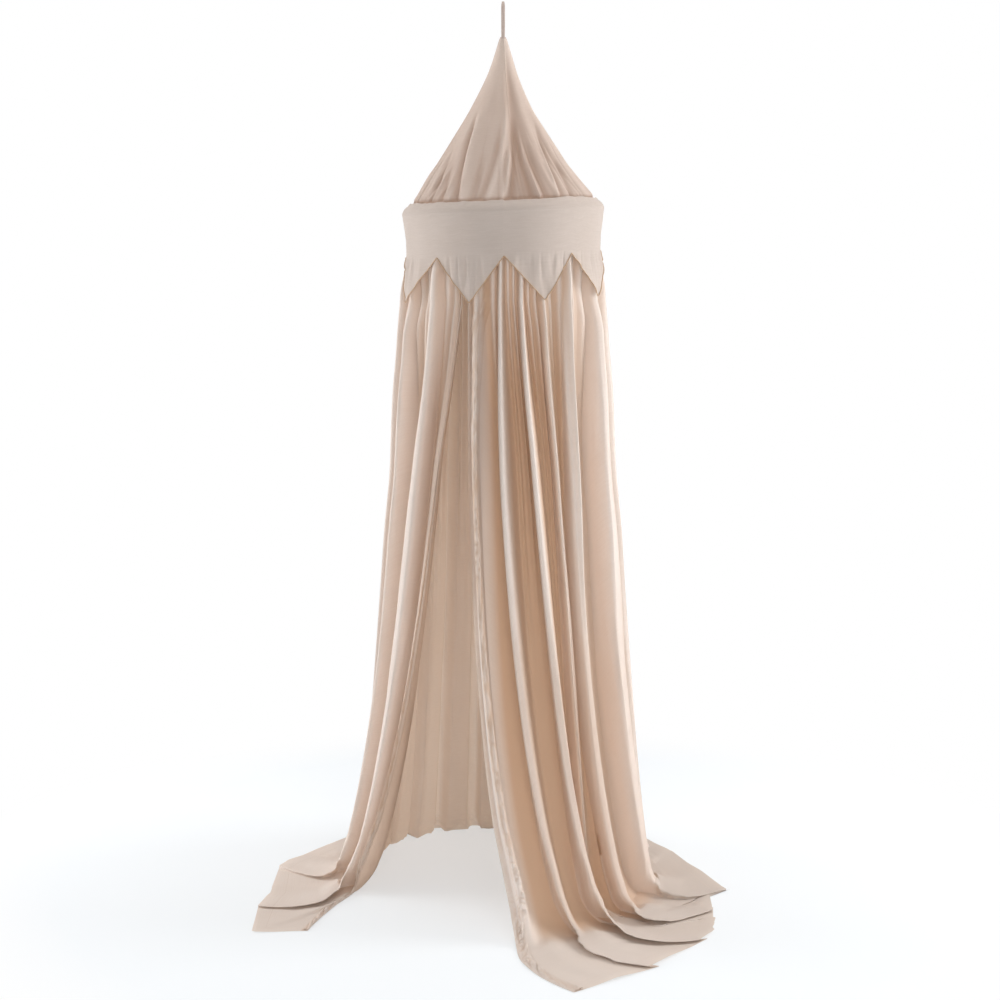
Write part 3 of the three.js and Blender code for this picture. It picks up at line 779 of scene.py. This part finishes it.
# %% Painted shade for the cotton
PAINTED_VALLEY_SHADE = [  # by fold number, how strongly shade is painted in the valleys
    (0, 0.65), (3, 0.65), (5, 0.3), (11, 0.3), (13, 0.6), (13.8, 0.65), (14.2, 1), (18, 1)]
# by fold number, how strongly shade is painted on the cloth that lies on the floor
PAINTED_FLOOR_SHADE_SHARES = [(3, 0), (9, 0.3), (11, 0.7), (13, 1), (13.7, 0.8), (14.5, 0.5), (18, 0.45)]
SHADED_SHARES = [(3, 0.05), (11, 0.12), (18, 0.12)]  # painted shade on the lying cloth, more under the tongues' lips


def share_at(table, fold):
    return np.interp(fold, *np.array(table, float).T)


def paint_shade(piece, values, name="inner"):
    """A value from 0 to 1 on each point, which the cotton reads as a share of a second colour, a painted shade."""
    layer = piece.data.attributes.new(name, "FLOAT", "POINT")
    layer.data.foreach_set("value", np.ascontiguousarray(values, np.float32).ravel())


# Painted shade: darker and warmer in the valleys beside the lit ridges, between the small gathers at the top, over the
# lower right folds, and on the lying cloth, most under the tongues' lips.
def painted_fold_shade(fold, down):
    drop = curtain_middle(fold, down)[1]
    _, tongue, gather, bright = fold_waves(fold, down, drop)
    low = ramp(drop, 0.1, 0.45)
    deep = mix(0.8 * (1 - gather), 1 - bright, low) * ramp(drop, 0.02, 0.1)
    low_right = 0.35 * ramp(drop, 0.75, 1.25) * ramp(fold, 12, 14) * (1 - ramp(fold, 17.2, 17.6))
    deep = mix(deep * share_at(PAINTED_VALLEY_SHADE, fold), 1, low_right)
    lying = share_at(SHADED_SHARES, fold) * (1.3 - 0.6 * tongue)
    return mix(deep, lying, ramp(down, 0.68, 0.84))


# Painted shade: the cloth that lies on the floor is painted greyer.
def painted_floor_shade(fold, down):
    return share_at(PAINTED_FLOOR_SHADE_SHARES, fold) * ramp(down, 0.66, 0.84)


print("valleys are tinted by", [share for _, share in PAINTED_VALLEY_SHADE])

# %% Cut the widths out of the surface
FOLD_COLUMNS, ROWS = 26, 260


def curtain_width(name, first, last):
    columns = max(2, round((last - first) * FOLD_COLUMNS))
    fold, down = np.meshgrid(np.linspace(first, last, columns + 1), np.linspace(0, 1, ROWS + 1))
    points = curtain_surface(fold, down)
    run = lengths(points, 0)
    flat = np.stack([fold * WIDTH_PER_FOLD, run - run[-1] + HEM_AT], -1)
    piece = cloth_mesh(name, points, flat, curtain_cotton)
    paint_shade(piece, painted_fold_shade(fold, down))
    paint_shade(piece, painted_floor_shade(fold, down), "lying")
    print(name, "is", round(float(run[-1].mean()), 3), "m long")
    return piece


left_front = curtain_width("curtain_left_front", 0, LEFT_SEAM)
left = curtain_width("curtain_left", LEFT_SEAM, BACK_LEFT_SEAM)
middle_back = curtain_width("curtain_middle_back", BACK_LEFT_SEAM, BACK_RIGHT_SEAM)
right = curtain_width("curtain_right", BACK_RIGHT_SEAM, RIGHT_SEAM)
right_front = curtain_width("curtain_right_front", RIGHT_SEAM, LAST_FOLD)

# %% [markdown]
# A width that can be drawn follows the canopy at its top and turns with its flap at the foot. In
# between the turn grows along a line, which runs from the hoop forwards and down to the flap.

# %% Bodies of the widths
DRAW_LINES = {
    "left_front": {"start": (-0.09, -0.223, -0.51), "end": (-0.09, -0.4258, -0.546)},
    "right_front": {"start": (-0.079, -0.217, -0.51), "end": (-0.4168, -0.5375, -0.6124)},
}
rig.replaces(left_front, "curtain_left_upper", "curtain_left_flap")
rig.replaces(left, "curtain_left_side")
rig.replaces(middle_back, "curtain_back")
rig.replaces(right, "curtain_right_side")
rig.replaces(right_front, "curtain_right_upper", "curtain_right_flap")
for piece in (left, middle_back, right):
    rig.ride(piece, "canopy")
for piece, flap in ((left_front, "left_front"), (right_front, "right_front")):
    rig.blend(piece, "canopy", flap, **DRAW_LINES[flap])
for piece in (left_front, left, middle_back, right, right_front):
    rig.slot(piece, "cotton")
print("the two front widths bend with their flaps, the other three hang still")

# %% [markdown]
# ## The front edges
# A facing is stitched along each front edge, and it has drawn up in small crumples where the
# thread pulls. It is a narrow strip of the same surface, wrapped round the edge and a little off
# the cloth. On the right the edge rolls outwards above the knee, so the strip is wider there on
# its outer side, and lies over the outermost fold.

# %% Facing strips
FACING_COLUMNS, FACING_ROWS = 41, 601
RUFFLE = 0.0065  # the strip stands off the cloth by this much between its small creases
STAND_OFF = 0.0016  # and by this much everywhere
PINCH_WIDTH, FINE_PINCH_WIDTH = 0.26, 0.2  # of the noise round nought where the strip is pinched


def facing_pinch(reach, down):
    """1 where the thread draws the strip down to the cloth, 0 between."""
    wavy = soft_noise(21, reach * 60, down * 55 + reach * 90)
    fine = soft_noise(22, reach * 50, down * 80)
    return np.maximum(bell(wavy, PINCH_WIDTH), 0.8 * bell(fine, FINE_PINCH_WIDTH))


def facing(name, edge, inwards, outer, inner):
    """A strip round a front edge, so wide on its outer side and on its inner side."""
    across = np.linspace(0, 1, FACING_COLUMNS)
    down = np.linspace(0.001, 0.999, FACING_ROWS)[:, None] * np.ones(FACING_COLUMNS)
    near = np.linspace(0, 0.8, 81)
    run = lengths(curtain_surface(*np.meshgrid(edge + inwards * near, down[:, 0])), 1)
    share = np.abs(1 - 2 * across)
    width = np.where(across < 0.5, mix(outer, inner, ramp(down, 0.6, 0.72)), inner)
    reach = width * share
    fold = edge + inwards * np.stack([np.interp(*pair, near) for pair in zip(reach, run)])
    pinch = facing_pinch(reach, down)
    humps = 0.75 + 0.25 * soft_noise(23, reach * 120, down * 150)
    ruffle = RUFFLE * (1 - pinch) * humps * np.sin(np.pi * share ** 1.5) ** 0.5
    lift = np.clip((1 - 2 * across) * 8, -1, 1) * (STAND_OFF + ruffle)
    points = curtain_surface(fold, down)
    step = curtain_surface(fold, down, 0.01) - points
    points += unit(step) * lift[..., None]
    points[..., 2] = np.maximum(points[..., 2], 0.0004)
    if inwards > 0:  # so that the faces point outwards on the left as well
        points, reach, fold, pinch = (a[:, ::-1] for a in (points, reach, fold, pinch))
        across, share = across[::-1], share[::-1]
    flat = np.stack([inner + np.where(across < 0.5, -reach, reach), lengths(points, 0)], -1)
    strip = cloth_mesh(name, points, flat, facing_cotton)
    # Painted shade on the strip: darker in its pinched creases and on its upper part, added to the painted shade of
    # the folds it lies on.
    creases = 0.45 * pinch * np.sin(np.pi * share)
    upper = 0.1 if inwards > 0 else 0.15 + 0.2 * ramp(down, 0.15, 0.24)
    deep = painted_fold_shade(fold, down) + creases + upper * (1 - ramp(down, 0.4, 0.6))
    paint_shade(strip, np.clip(deep, 0, 1))
    paint_shade(strip, painted_floor_shade(fold, down), "lying")
    return strip


left_facing = facing("left_front_facing", 0, 1, 0.017, 0.017)
right_facing = facing("right_front_facing", LAST_FOLD, -1, 0.085, 0.029)
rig.replaces(left_facing, "hem_left_upper", "hem_left_flap")
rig.replaces(right_facing, "hem_right_upper", "hem_right_flap")
for piece, flap in ((left_facing, "left_front"), (right_facing, "right_front")):
    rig.blend(piece, "canopy", flap, **DRAW_LINES[flap])
    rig.slot(piece, "cotton")

# %% [markdown]
# ## The roof
# Four gores make one cone, drawn in at the peak and pulled out by the hoop, so its outline is
# hollow like a tent's. Creases run down as rays and deepen towards the hoop, where the cloth is
# eased into the band's seam in small puckers. Sharp creases lie where a noise crosses nought.

# %% The roof's outline, smoothed
ROOF_COLUMNS, ROOF_ROWS = 480, 110
ROOF_ROUND, ROOF_DROP = 1.42, 0.47  # metres of cloth round the seam, and from peak to seam
GORE_SEAMS = (11.25, 101.25, 191.25, 281.25)
SEAM_SHARPNESS = 17.45 / 1.6  # one degree at one metre is 17.45 mm, and a seam is 1.6 mm wide
OVER = 0.0012  # the roof lies this far over the peak's ring


def smooth_line(rows):
    """A line through the rows, carried on past both ends and then averaged."""
    x, y = np.array(rows).T
    slopes = np.diff(y) / np.diff(x)
    fine = np.linspace(-0.2, 1.2, 400)
    line = np.where(fine < 0, y[0] + slopes[0] * fine,
                    np.where(fine > 1, y[-1] + slopes[-1] * (fine - 1), np.interp(fine, x, y)))
    count = int(0.07 / (fine[1] - fine[0]))  # points to average over
    for _ in range(2):
        line = np.convolve(np.pad(line, count, mode="edge"), np.ones(count) / count, "same")
        line = line[count:-count]
    return fine, line


ROOF_FINE = smooth_line(ROOF_LINE)
print("the roof spreads to", SEAM_RADIUS, "m over", round(PEAK - SEAM, 3), "m")

# %% Creases of the roof
# Those that the real roof shows at the front: angle where one starts, angle at the band, where
# it starts on the way down, its depth in metres and its width in degrees.
FRONT_CREASES = [
    (-53, -30.5, 0.42, -0.0120, 2.7), (-44, -25, 0.40, 0.0050, 3.5), (-56, -42, 0.70, -0.0080, 2.4),
    (7, -9.5, 0.36, 0.0060, 3.0), (1, -15, 0.45, -0.0070, 2.6), (12, -0.5, 0.55, 0.0080, 2.0),
    (14, 4.5, 0.45, -0.0100, 2.6), (20, 22, 0.52, 0.0080, 2.0), (17, 18, 0.45, -0.0070, 3.0),
    (28, 28, 0.6, -0.0060, 2.2), (56, 40, 0.5, -0.0080, 2.0), (50, 35, 0.6, 0.0050, 1.8),
    (62, 50, 0.66, -0.0070, 2.0), (-68, -55, 0.6, -0.0075, 2.4), (-20, -19, 0.66, -0.0060, 1.8)]


def front_creases(angle, down):
    push = np.zeros(angle.shape)
    for start, end, begins, depth, width in FRONT_CREASES:
        share = np.clip((down - begins) / (1 - begins), 0, 1)
        off = (from_front(angle) - mix(start, end, share)) / mix(width * 1.5, width, share)
        push += depth * bell(off) * ramp(down, begins, begins + 0.22)
    return push


def roof_creases(angle, down):
    """The creases at the front, and others from noise round the sides and the back."""
    turn = angle / 360
    front = np.exp(-(from_front(angle) / 50) ** 4)
    ray = soft_noise(32, turn * 26 + 0.25 * down, down * 1.6)
    sharp = -0.006 * bell(ray, 0.13) * ramp(down, 0.35, 0.75) * (1 - front)
    thin = soft_noise(33, turn * 61, down * 2.2)
    sharp -= 0.0032 * bell(thin, 0.2) * ramp(down, 0.5, 0.85)
    return sharp + front_creases(angle, down)


print(len(FRONT_CREASES), "creases at the front")

# %% Roof cloth
def roof_surface(angle, down):
    depth = mix(0.004, PEAK - SEAM - 0.0006, down)
    share = np.interp(depth / (PEAK - SEAM), *ROOF_FINE)
    start = PEAK_RADIUS + OVER
    radius = start + (SEAM_RADIUS - PEAK_RADIUS - OVER) * np.clip(share, 0, 1)
    turn = angle / 360
    wrapped = from_front(angle)
    broad = soft_noise(31, turn * 22, down * 1.2) * 0.0055 * ramp(down, 0.1, 0.7)
    hollow = bell(wrapped - 20, 15) - 0.45 * bell(wrapped - 3, 10)
    broad -= 0.10 * radius * hollow * ramp(down, 0.02, 0.3) * (1 - ramp(down, 0.7, 0.98))
    full_left = bell(wrapped + 85, 38) * ramp(down, 0.1, 0.5) * (1 - ramp(down, 0.8, 1))
    broad += 0.013 * full_left
    pucker_at = turn * 64 + 0.7 * soft_noise(34, turn * 30, 0 * down)
    pucker = 0.0042 * (0.5 + 0.5 * np.cos(2 * np.pi * pucker_at))
    pucker *= 0.6 + 0.4 * soft_noise(35, turn * 40, 0 * down)
    pucker = pucker * ramp(down, 0.72, 0.93) * (1 - 0.6 * ramp(down, 0.97, 1))
    seam = sum(np.exp(-from_front(angle - a) ** 2 * (radius * SEAM_SHARPNESS) ** 2)
               for a in GORE_SEAMS) * 0.0011
    fixed = 1 - ramp(down, 0.985, 1) * 0.6
    tucked = -0.0035 * ramp(down, 0.965, 1)
    radius = radius + (broad + roof_creases(angle, down)) * fixed + pucker + seam + tucked
    return lean(around(angle, radius, PEAK - depth))


rows = np.linspace(0, 1, ROOF_ROWS + 1)
roof = ring_of_cloth("roof_cloth", roof_surface, ROOF_COLUMNS, rows, ROOF_ROUND, roof_cotton)
angle, down = ring_places(ROOF_COLUMNS, rows)
# Painted shade on the roof: a little lower down, more in its sunk creases and in the hollow at the front right, less
# on its raised creases, and a thin painted shadow line at the seam to the band.
shadow = 0.25 * ramp(down, 0.1, 0.4) - roof_creases(angle, down) / 0.022
shadow += 0.45 * bell(from_front(angle) - 20, 15) * ramp(down, 0.05, 0.3)
paint_shade(roof, np.clip(shadow + 0.7 * ramp(down, 0.975, 0.99), 0, 1))
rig.replaces(roof, "roof_gore_front_left", "roof_gore_back_left",
            "roof_gore_back_right", "roof_gore_front_right")
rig.ride(roof, "canopy")
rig.slot(roof, "cotton")

# %% [markdown]
# ## The crown band
# The band is sewn to the roof just inside the hoop, passes over it as a rounded shoulder and
# hangs down in eight points. It is smooth but for the puckers inside the points, where the
# corded edge pulls on it. The front points stand where the real ones do, not quite evenly.

# %% Crown band
BAND_COLUMNS, BAND_ROUND, BAND_DROP = 720, 1.57, 0.25
SHOULDER_SHARE = 0.2  # of the way down, from the roof's seam over the hoop to the rim
SHOULDER = [(0, 0), (0.3, 0.14), (0.53, 0.3), (0.75, 0.5), (0.9, 0.74), (1, 1)]  # out, down
BAND_LINE = [(TIP - 0.01, TIP_RADIUS), (TIP, TIP_RADIUS), (VALLEY, VALLEY_RADIUS),
             (VALLEY + 0.043, 0.2413), (VALLEY + 0.085, 0.2468), (RIM, RIM_RADIUS)]
EDGE_PULL = 0.012  # the corded edge begins to pull at this height over the valleys


def band_surface(angle, down, lift=0.0):
    out, fall = (np.interp(down / SHOULDER_SHARE, np.linspace(0, 1, len(SHOULDER)),
                           [p[n] for p in SHOULDER]) for n in (0, 1))
    part = np.clip((down - SHOULDER_SHARE) / (1 - SHOULDER_SHARE), 0, 1)
    on_shoulder = down < SHOULDER_SHARE
    height = np.where(on_shoulder, mix(SEAM, RIM, fall), mix(RIM, edge_height(angle), part))
    radius = np.where(on_shoulder, mix(SEAM_RADIUS + 0.0008, RIM_RADIUS, out),
                      np.interp(height, *np.array(BAND_LINE).T))
    turn = angle / 360
    below = ramp(VALLEY + EDGE_PULL - height, 0, 0.035)
    broad = 0.0022 * soft_noise(41, turn * 26, height * 4) * ramp(down, 0.16, 0.5)
    pleats = soft_noise(42, turn * 110, height * 9) + 0.5 * soft_noise(43, turn * 210, height * 14)
    folds = bell(soft_noise(44, turn * 74, height * 5), 0.22)
    point = 0.0016 * pleats * below - 0.003 * folds * below
    flare = ramp(VALLEY + EDGE_PULL - height, 0, 0.09) * np.sin(np.radians(angle)) ** 4
    point += 0.012 * flare
    ease = 0.0012 * soft_noise(45, turn * 150, height * 6) * (1 - ramp(down, 0.05, 0.3))
    sliver = 0.0045 * bell(from_front(angle) - 44, 20) * (1 - ramp(down, 0.02, 0.1))
    rolled = 0.0028 * (ramp(down, 0, 0.012) - ramp(down, 0.012, 0.06))
    rolled -= 0.003 * (1 - ramp(down, 0, 0.012))
    rolled *= 1 + 0.5 * soft_noise(46, turn * 60, 0 * down)
    points = around(angle, radius + broad + point + lift, height + ease * 0.6 + sliver + rolled)
    return lean(points)


band_rows = np.concatenate([np.linspace(0, 0.06, 9)[:-1],
                            np.linspace(0.06, SHOULDER_SHARE, 9)[:-1],
                            np.linspace(SHOULDER_SHARE, 1, 65)])
band = ring_of_cloth("crown_band", band_surface, BAND_COLUMNS, band_rows, BAND_ROUND, band_cotton)
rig.replaces(band, "crown_band_front", "crown_band_left", "crown_band_back", "crown_band_right")
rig.ride(band, "canopy")
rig.slot(band, "band_cotton")


# %% [markdown]
# ## Corded edge of the points
# A thin cord in a slightly darker, golden thread is sewn round the points. A tube of eight
# sides follows the band's lower edge all the way round.

# %% Thread finish
def thread_finish(name, colour, dark, pitch, roughness):
    finish = new_finish(name)
    place = node(finish, "TexCoord")["Object"]
    twist = node(finish, "TexWave", {"Vector": place, "Scale": 1 / pitch, "Distortion": 2.0,
                                     "Detail": 2, "Detail Scale": 2.0},
                 bands_direction="DIAGONAL")["Fac"]
    tone = calculate(finish, "MULTIPLY", twist, noise(finish, place, 160, 2))
    surface = node(finish, "BsdfPrincipled",
                   {"Base Color": mixed_colour(finish, tone, dark, colour),
                    "Normal": bump(finish, twist, 0.4, 0.0004), "Roughness": roughness,
                    "Specular IOR Level": 0.25, "Sheen Weight": 0.15})[0]
    node(finish, "OutputMaterial", {"Surface": surface})
    return finish


edging_thread = thread_finish("edging cord", shade(214, 186, 156), shade(184, 150, 118),
                              pitch=0.0016, roughness=0.7)
loop_cotton = thread_finish("loop tape", shade(222, 208, 200), shade(196, 176, 164),
                            pitch=0.0011, roughness=0.85)
print("cord and tape finishes")

# %% Corded edge
CORD_RADIUS, CORD_SIDES, CORD_STEPS = 0.0012, 8, 960
CORD_LENGTH = 2.3  # metres of cord all the way round the points


def tube_net(path, radius, sides):
    """A net of points round a closed line: one row for each place round the section."""
    ahead = unit(np.roll(path, -1, axis=0) - np.roll(path, 1, axis=0))
    out = unit(path * (1, 1, 0))
    up = unit(np.cross(ahead, out))
    turns = np.linspace(0, 2 * np.pi, sides + 1)
    return np.stack([path + out * radius * np.cos(t) + up * radius * np.sin(t) for t in turns])


edge_angles = -np.arange(CORD_STEPS) * 360 / CORD_STEPS
cord_path = band_surface(edge_angles, np.ones(CORD_STEPS), CORD_RADIUS / 2)
net = tube_net(cord_path, CORD_RADIUS, CORD_SIDES)
flat = np.stack([np.broadcast_to(-edge_angles / 360 * CORD_LENGTH, net.shape[:2]),
                 np.linspace(0, 0.009, CORD_SIDES + 1)[:, None] * np.ones(CORD_STEPS)], -1)
cord = cloth_mesh("band_edge_cord", net, flat, edging_thread, ring=True)
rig.replaces(cord, "crown_edging_front", "crown_edging_left", "crown_edging_back",
            "crown_edging_right")
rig.ride(cord, "canopy")
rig.slot(cord, "edging")

# %% [markdown]
# ## Inside the crown
# The hoop lies in a sleeve of the same cotton, sewn in at the roof seam, and a flat tape keeps
# the gathered top of the curtain to its length. Both are seen when looking up into the canopy.

# %% Hoop sleeve
SLEEVE_RADIUS = 0.0068  # round the middle of the hoop's tube
SLEEVE_ROUND, SLEEVE_WIDTH = 1.6, 0.045
FLANGE_SHARE = 0.12  # of the sleeve's width, between the roof's seam and the tube
INNER_COLUMNS = 480


def sleeve_surface(angle, down):
    """From the roof seam under the hoop to its outer side."""
    swing = np.radians(mix(125, 345, np.clip((down - FLANGE_SHARE) / (1 - FLANGE_SHARE), 0, 1)))
    ease = 0.0007 * soft_noise(51, angle / 360 * 190, down * 3) * np.sin(np.pi * down)
    r = HOOP_RADIUS + (SLEEVE_RADIUS + ease) * np.cos(swing)
    z = HOOP + (SLEEVE_RADIUS + ease) * np.sin(swing)
    share = np.clip(down / FLANGE_SHARE, 0, 1)
    r, z = mix(SEAM_RADIUS, r, share), mix(SEAM - 0.003, z, share)
    return lean(around(angle, r, z))


sleeve = ring_of_cloth("hoop_sleeve", sleeve_surface, INNER_COLUMNS, np.linspace(0, 1, 25),
                       SLEEVE_ROUND, roof_cotton)
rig.replaces(sleeve, "hoop_casing")
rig.ride(sleeve, "canopy")
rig.slot(sleeve, "cotton")

# %% Heading tape in the curtain's top edge
HEADING_ROUND, HEADING_WIDTH, HEADING_GAP = 1.46, 0.010, 0.0041


def heading_surface(angle, down):
    ease = 0.0006 * soft_noise(52, angle / 360 * 160, down * 2)
    radius = CURTAIN_TOP_RADIUS - HEADING_GAP + ease
    return lean(around(angle, radius, CURTAIN_TOP - 0.008 * down))


heading = ring_of_cloth("curtain_heading", heading_surface, INNER_COLUMNS, np.linspace(0, 1, 5),
                        HEADING_ROUND, band_cotton)
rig.replaces(heading, "heading_tape")
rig.ride(heading, "canopy")
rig.slot(heading, "tape")

# %% [markdown]
# ## The loop
# One length of tape is folded in half, with a slim eye for the ceiling hook. The two ends pass
# through the peak, where thread is wound round the cloth, and a knot underneath carries the
# weight. The tape is a flat section carried along a drop-shaped line.

# %% Tape
LOOP_SIDE = [  # one side of the loop from the knot up to the top of the eye: y and z
    (0.0011, -0.112), (0.0011, -0.086), (0.0012, -0.070), (0.0024, -0.060),
    (0.0048, -0.048), (0.0068, -0.034), (0.0072, -0.018), (0.0058, -0.007),
    (0.0030, -0.0012), (0, 0.0006)]
TAPE_UPPER = [  # x across the tape, and off its middle
    (-0.0046, 0), (-0.0044, 0.0006), (-0.002, 0.00072), (0.002, 0.00072), (0.0044, 0.0006)]
TAPE_SECTION = TAPE_UPPER + [(-x, -off) for x, off in TAPE_UPPER] + TAPE_UPPER[:1]
side_path = np.array(LOOP_SIDE)
steps = np.linspace(0, len(side_path) - 1, 70)
half = np.stack([through(side_path[:, 0], steps), through(side_path[:, 1], steps)], -1)
whole = np.concatenate([half * (-1, 1), half[-2::-1]])
slope = unit(np.gradient(whole, axis=0))
normal = np.stack([-slope[:, 1], slope[:, 0]], -1)
narrow = 1 - 0.28 * ramp(whole[:, 1], -0.012, 0.0005) - 0.1 * ramp(-whole[:, 1], 0.06, 0.09)
rows = []
for x, off in TAPE_SECTION:
    yz = whole + normal * off
    rows.append(np.stack([x * narrow, yz[:, 0], yz[:, 1] - FLOOR], -1))
net = np.stack(rows)[::-1]
flat = np.stack([lengths(net, 1), lengths(net, 0)], -1)
tape = cloth_mesh("loop_tape", net, flat, loop_cotton)
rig.replaces(tape, "hanging_loop")
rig.blend(tape, "loop", "canopy", start=(0, 0, -0.02), end=(0, 0, -0.085))
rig.slot(tape, "tape")


# %% [markdown]
# The winding at the peak and the knot are rings of thread and tape. Each starts as a torus,
# tipped a little, and the rings of one piece are joined.

# %% Thread wound round the peak, and the knot
WINDING_THREAD, KNOT_TAPE = 0.0014, 0.0029  # half their thickness
TIPPED = (0.09, 0.05, 0)


def wound_rings(name, turns, thickness):
    """Rings from pairs of depth below the peak and radius."""
    made = []
    for depth, radius in turns:
        bpy.ops.object.select_all(action="DESELECT")
        bpy.ops.mesh.primitive_torus_add(major_segments=40, minor_segments=8, major_radius=radius,
                                         minor_radius=thickness,
                                         location=(0, 0, PEAK + FLOOR - depth), rotation=TIPPED)
        made.append(bpy.context.object)
    for ring in made:
        ring.select_set(True)
    bpy.context.view_layer.objects.active = made[0]
    bpy.ops.object.join()
    piece = bpy.context.object
    bpy.ops.object.transform_apply(location=True, rotation=True, scale=True)
    bpy.ops.object.shade_smooth()
    piece.name = piece.data.name = name
    piece.data.materials.clear()
    piece.data.materials.append(loop_cotton)
    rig.slot(piece, "tape")
    print(name, len(piece.data.polygons), "faces")
    return piece


winding = wound_rings("peak_winding", [(0.001, 0.0058), (0.0035, 0.0066), (0.0058, 0.0069),
                                       (0.0082, 0.0072)], WINDING_THREAD)
knot = wound_rings("tape_knot", [(0.0245, 0.0058), (0.0285, 0.0062), (0.032, 0.0056)], KNOT_TAPE)
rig.replaces(winding, "peak_binding")
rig.replaces(knot, "loop_knot")
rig.ride(winding, "canopy")
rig.ride(knot, "loop")

# %% [markdown]
# ## The hoop's own finish
# The hoop's tubes and joiners keep their solids from the model. They only get the finish of
# moulded plastic, pale and slightly uneven.

# %% Finish of the hoop
def moulded_finish(name, colour, dark):
    finish = new_finish(name)
    cloud = noise(finish, node(finish, "TexCoord")["Object"], 90, 4, 0.6)
    worn = node(finish, "MapRange", {"Value": cloud, "To Min": 0.34, "To Max": 0.56})[0]
    surface = node(finish, "BsdfPrincipled",
                   {"Base Color": mixed_colour(finish, cloud, dark, colour), "Roughness": worn,
                    "Normal": bump(finish, cloud, 0.12, 0.0003), "Specular IOR Level": 0.45})[0]
    node(finish, "OutputMaterial", {"Surface": surface})
    return finish


hoop_plastic = moulded_finish("hoop plastic", shade(238, 236, 231), shade(222, 219, 212))
for name in ("hoop_tube_front", "hoop_tube_back", "hoop_joiner_left", "hoop_joiner_right"):
    hoop_mesh = frame["nodes"][name].data
    hoop_mesh.materials.clear()
    hoop_mesh.materials.append(hoop_plastic)
print("hoop finished")

# %% [markdown]
# ## The cloth as it was cut
# Each sheet is declared with the size it had before it was sewn and hung. The curtain's widths
# are rectangles, as wide as the spread hem and as long as the cloth from the hoop to the hem.
# The roof is cut as four gores.

def width(folds, length):
    """The flat size of a width of the curtain."""
    return round(folds * WIDTH_PER_FOLD, 3), length


LEFT_LENGTH, STILL_LENGTH, RIGHT_LENGTH = 1.94, 1.82, 1.96
TOP, SLEEVE = ["curtain_heading"], ["hoop_sleeve"]
CUTS = [  # piece, flat size, how it is held, what it rests on, more
    (left_front, width(LEFT_SEAM, LEFT_LENGTH), "hung", TOP, {"with_pieces": [left_facing]}),
    (left, width(BACK_LEFT_SEAM - LEFT_SEAM, STILL_LENGTH), "hung", TOP, {}),
    (middle_back, width(BACK_RIGHT_SEAM - BACK_LEFT_SEAM, STILL_LENGTH), "hung", TOP, {}),
    (right, width(RIGHT_SEAM - BACK_RIGHT_SEAM, STILL_LENGTH), "hung", TOP, {}),
    (right_front, width(LAST_FOLD - RIGHT_SEAM, RIGHT_LENGTH), "hung", TOP,
     {"with_pieces": [right_facing]}),
    (roof, (ROOF_ROUND, ROOF_DROP), "stretched", SLEEVE, {"area": 0.31}),
    (band, (BAND_ROUND, BAND_DROP), "hung", SLEEVE, {"area": 0.30, "with_pieces": [cord]}),
    (sleeve, (SLEEVE_ROUND, SLEEVE_WIDTH), "gathered", ["hoop_tube_front", "hoop_tube_back"], {}),
    (heading, (HEADING_ROUND, HEADING_WIDTH), "gathered", SLEEVE, {}),
    (left_facing, (0.034, LEFT_LENGTH), "folded", ["curtain_left_front"], {}),
    (right_facing, (0.095, RIGHT_LENGTH), "folded", ["curtain_right_front"], {}),
]
for piece, flat, held, rests_on, more in CUTS:
    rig.sheet(piece, flat=flat, held=held, rests_on=rests_on, **more)
    area = sum(face.area for face in piece.data.polygons)
    print(piece.name, "covers", round(area, 3), "square metres")

# %% Sizes and finish
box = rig.bounds()
with open("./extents.json", "w") as file:
    json.dump({"cad": [list(c) for c in cad_box], "visual": [list(c) for c in box]}, file)
print("box", [[round(v, 4) for v in c] for c in box])
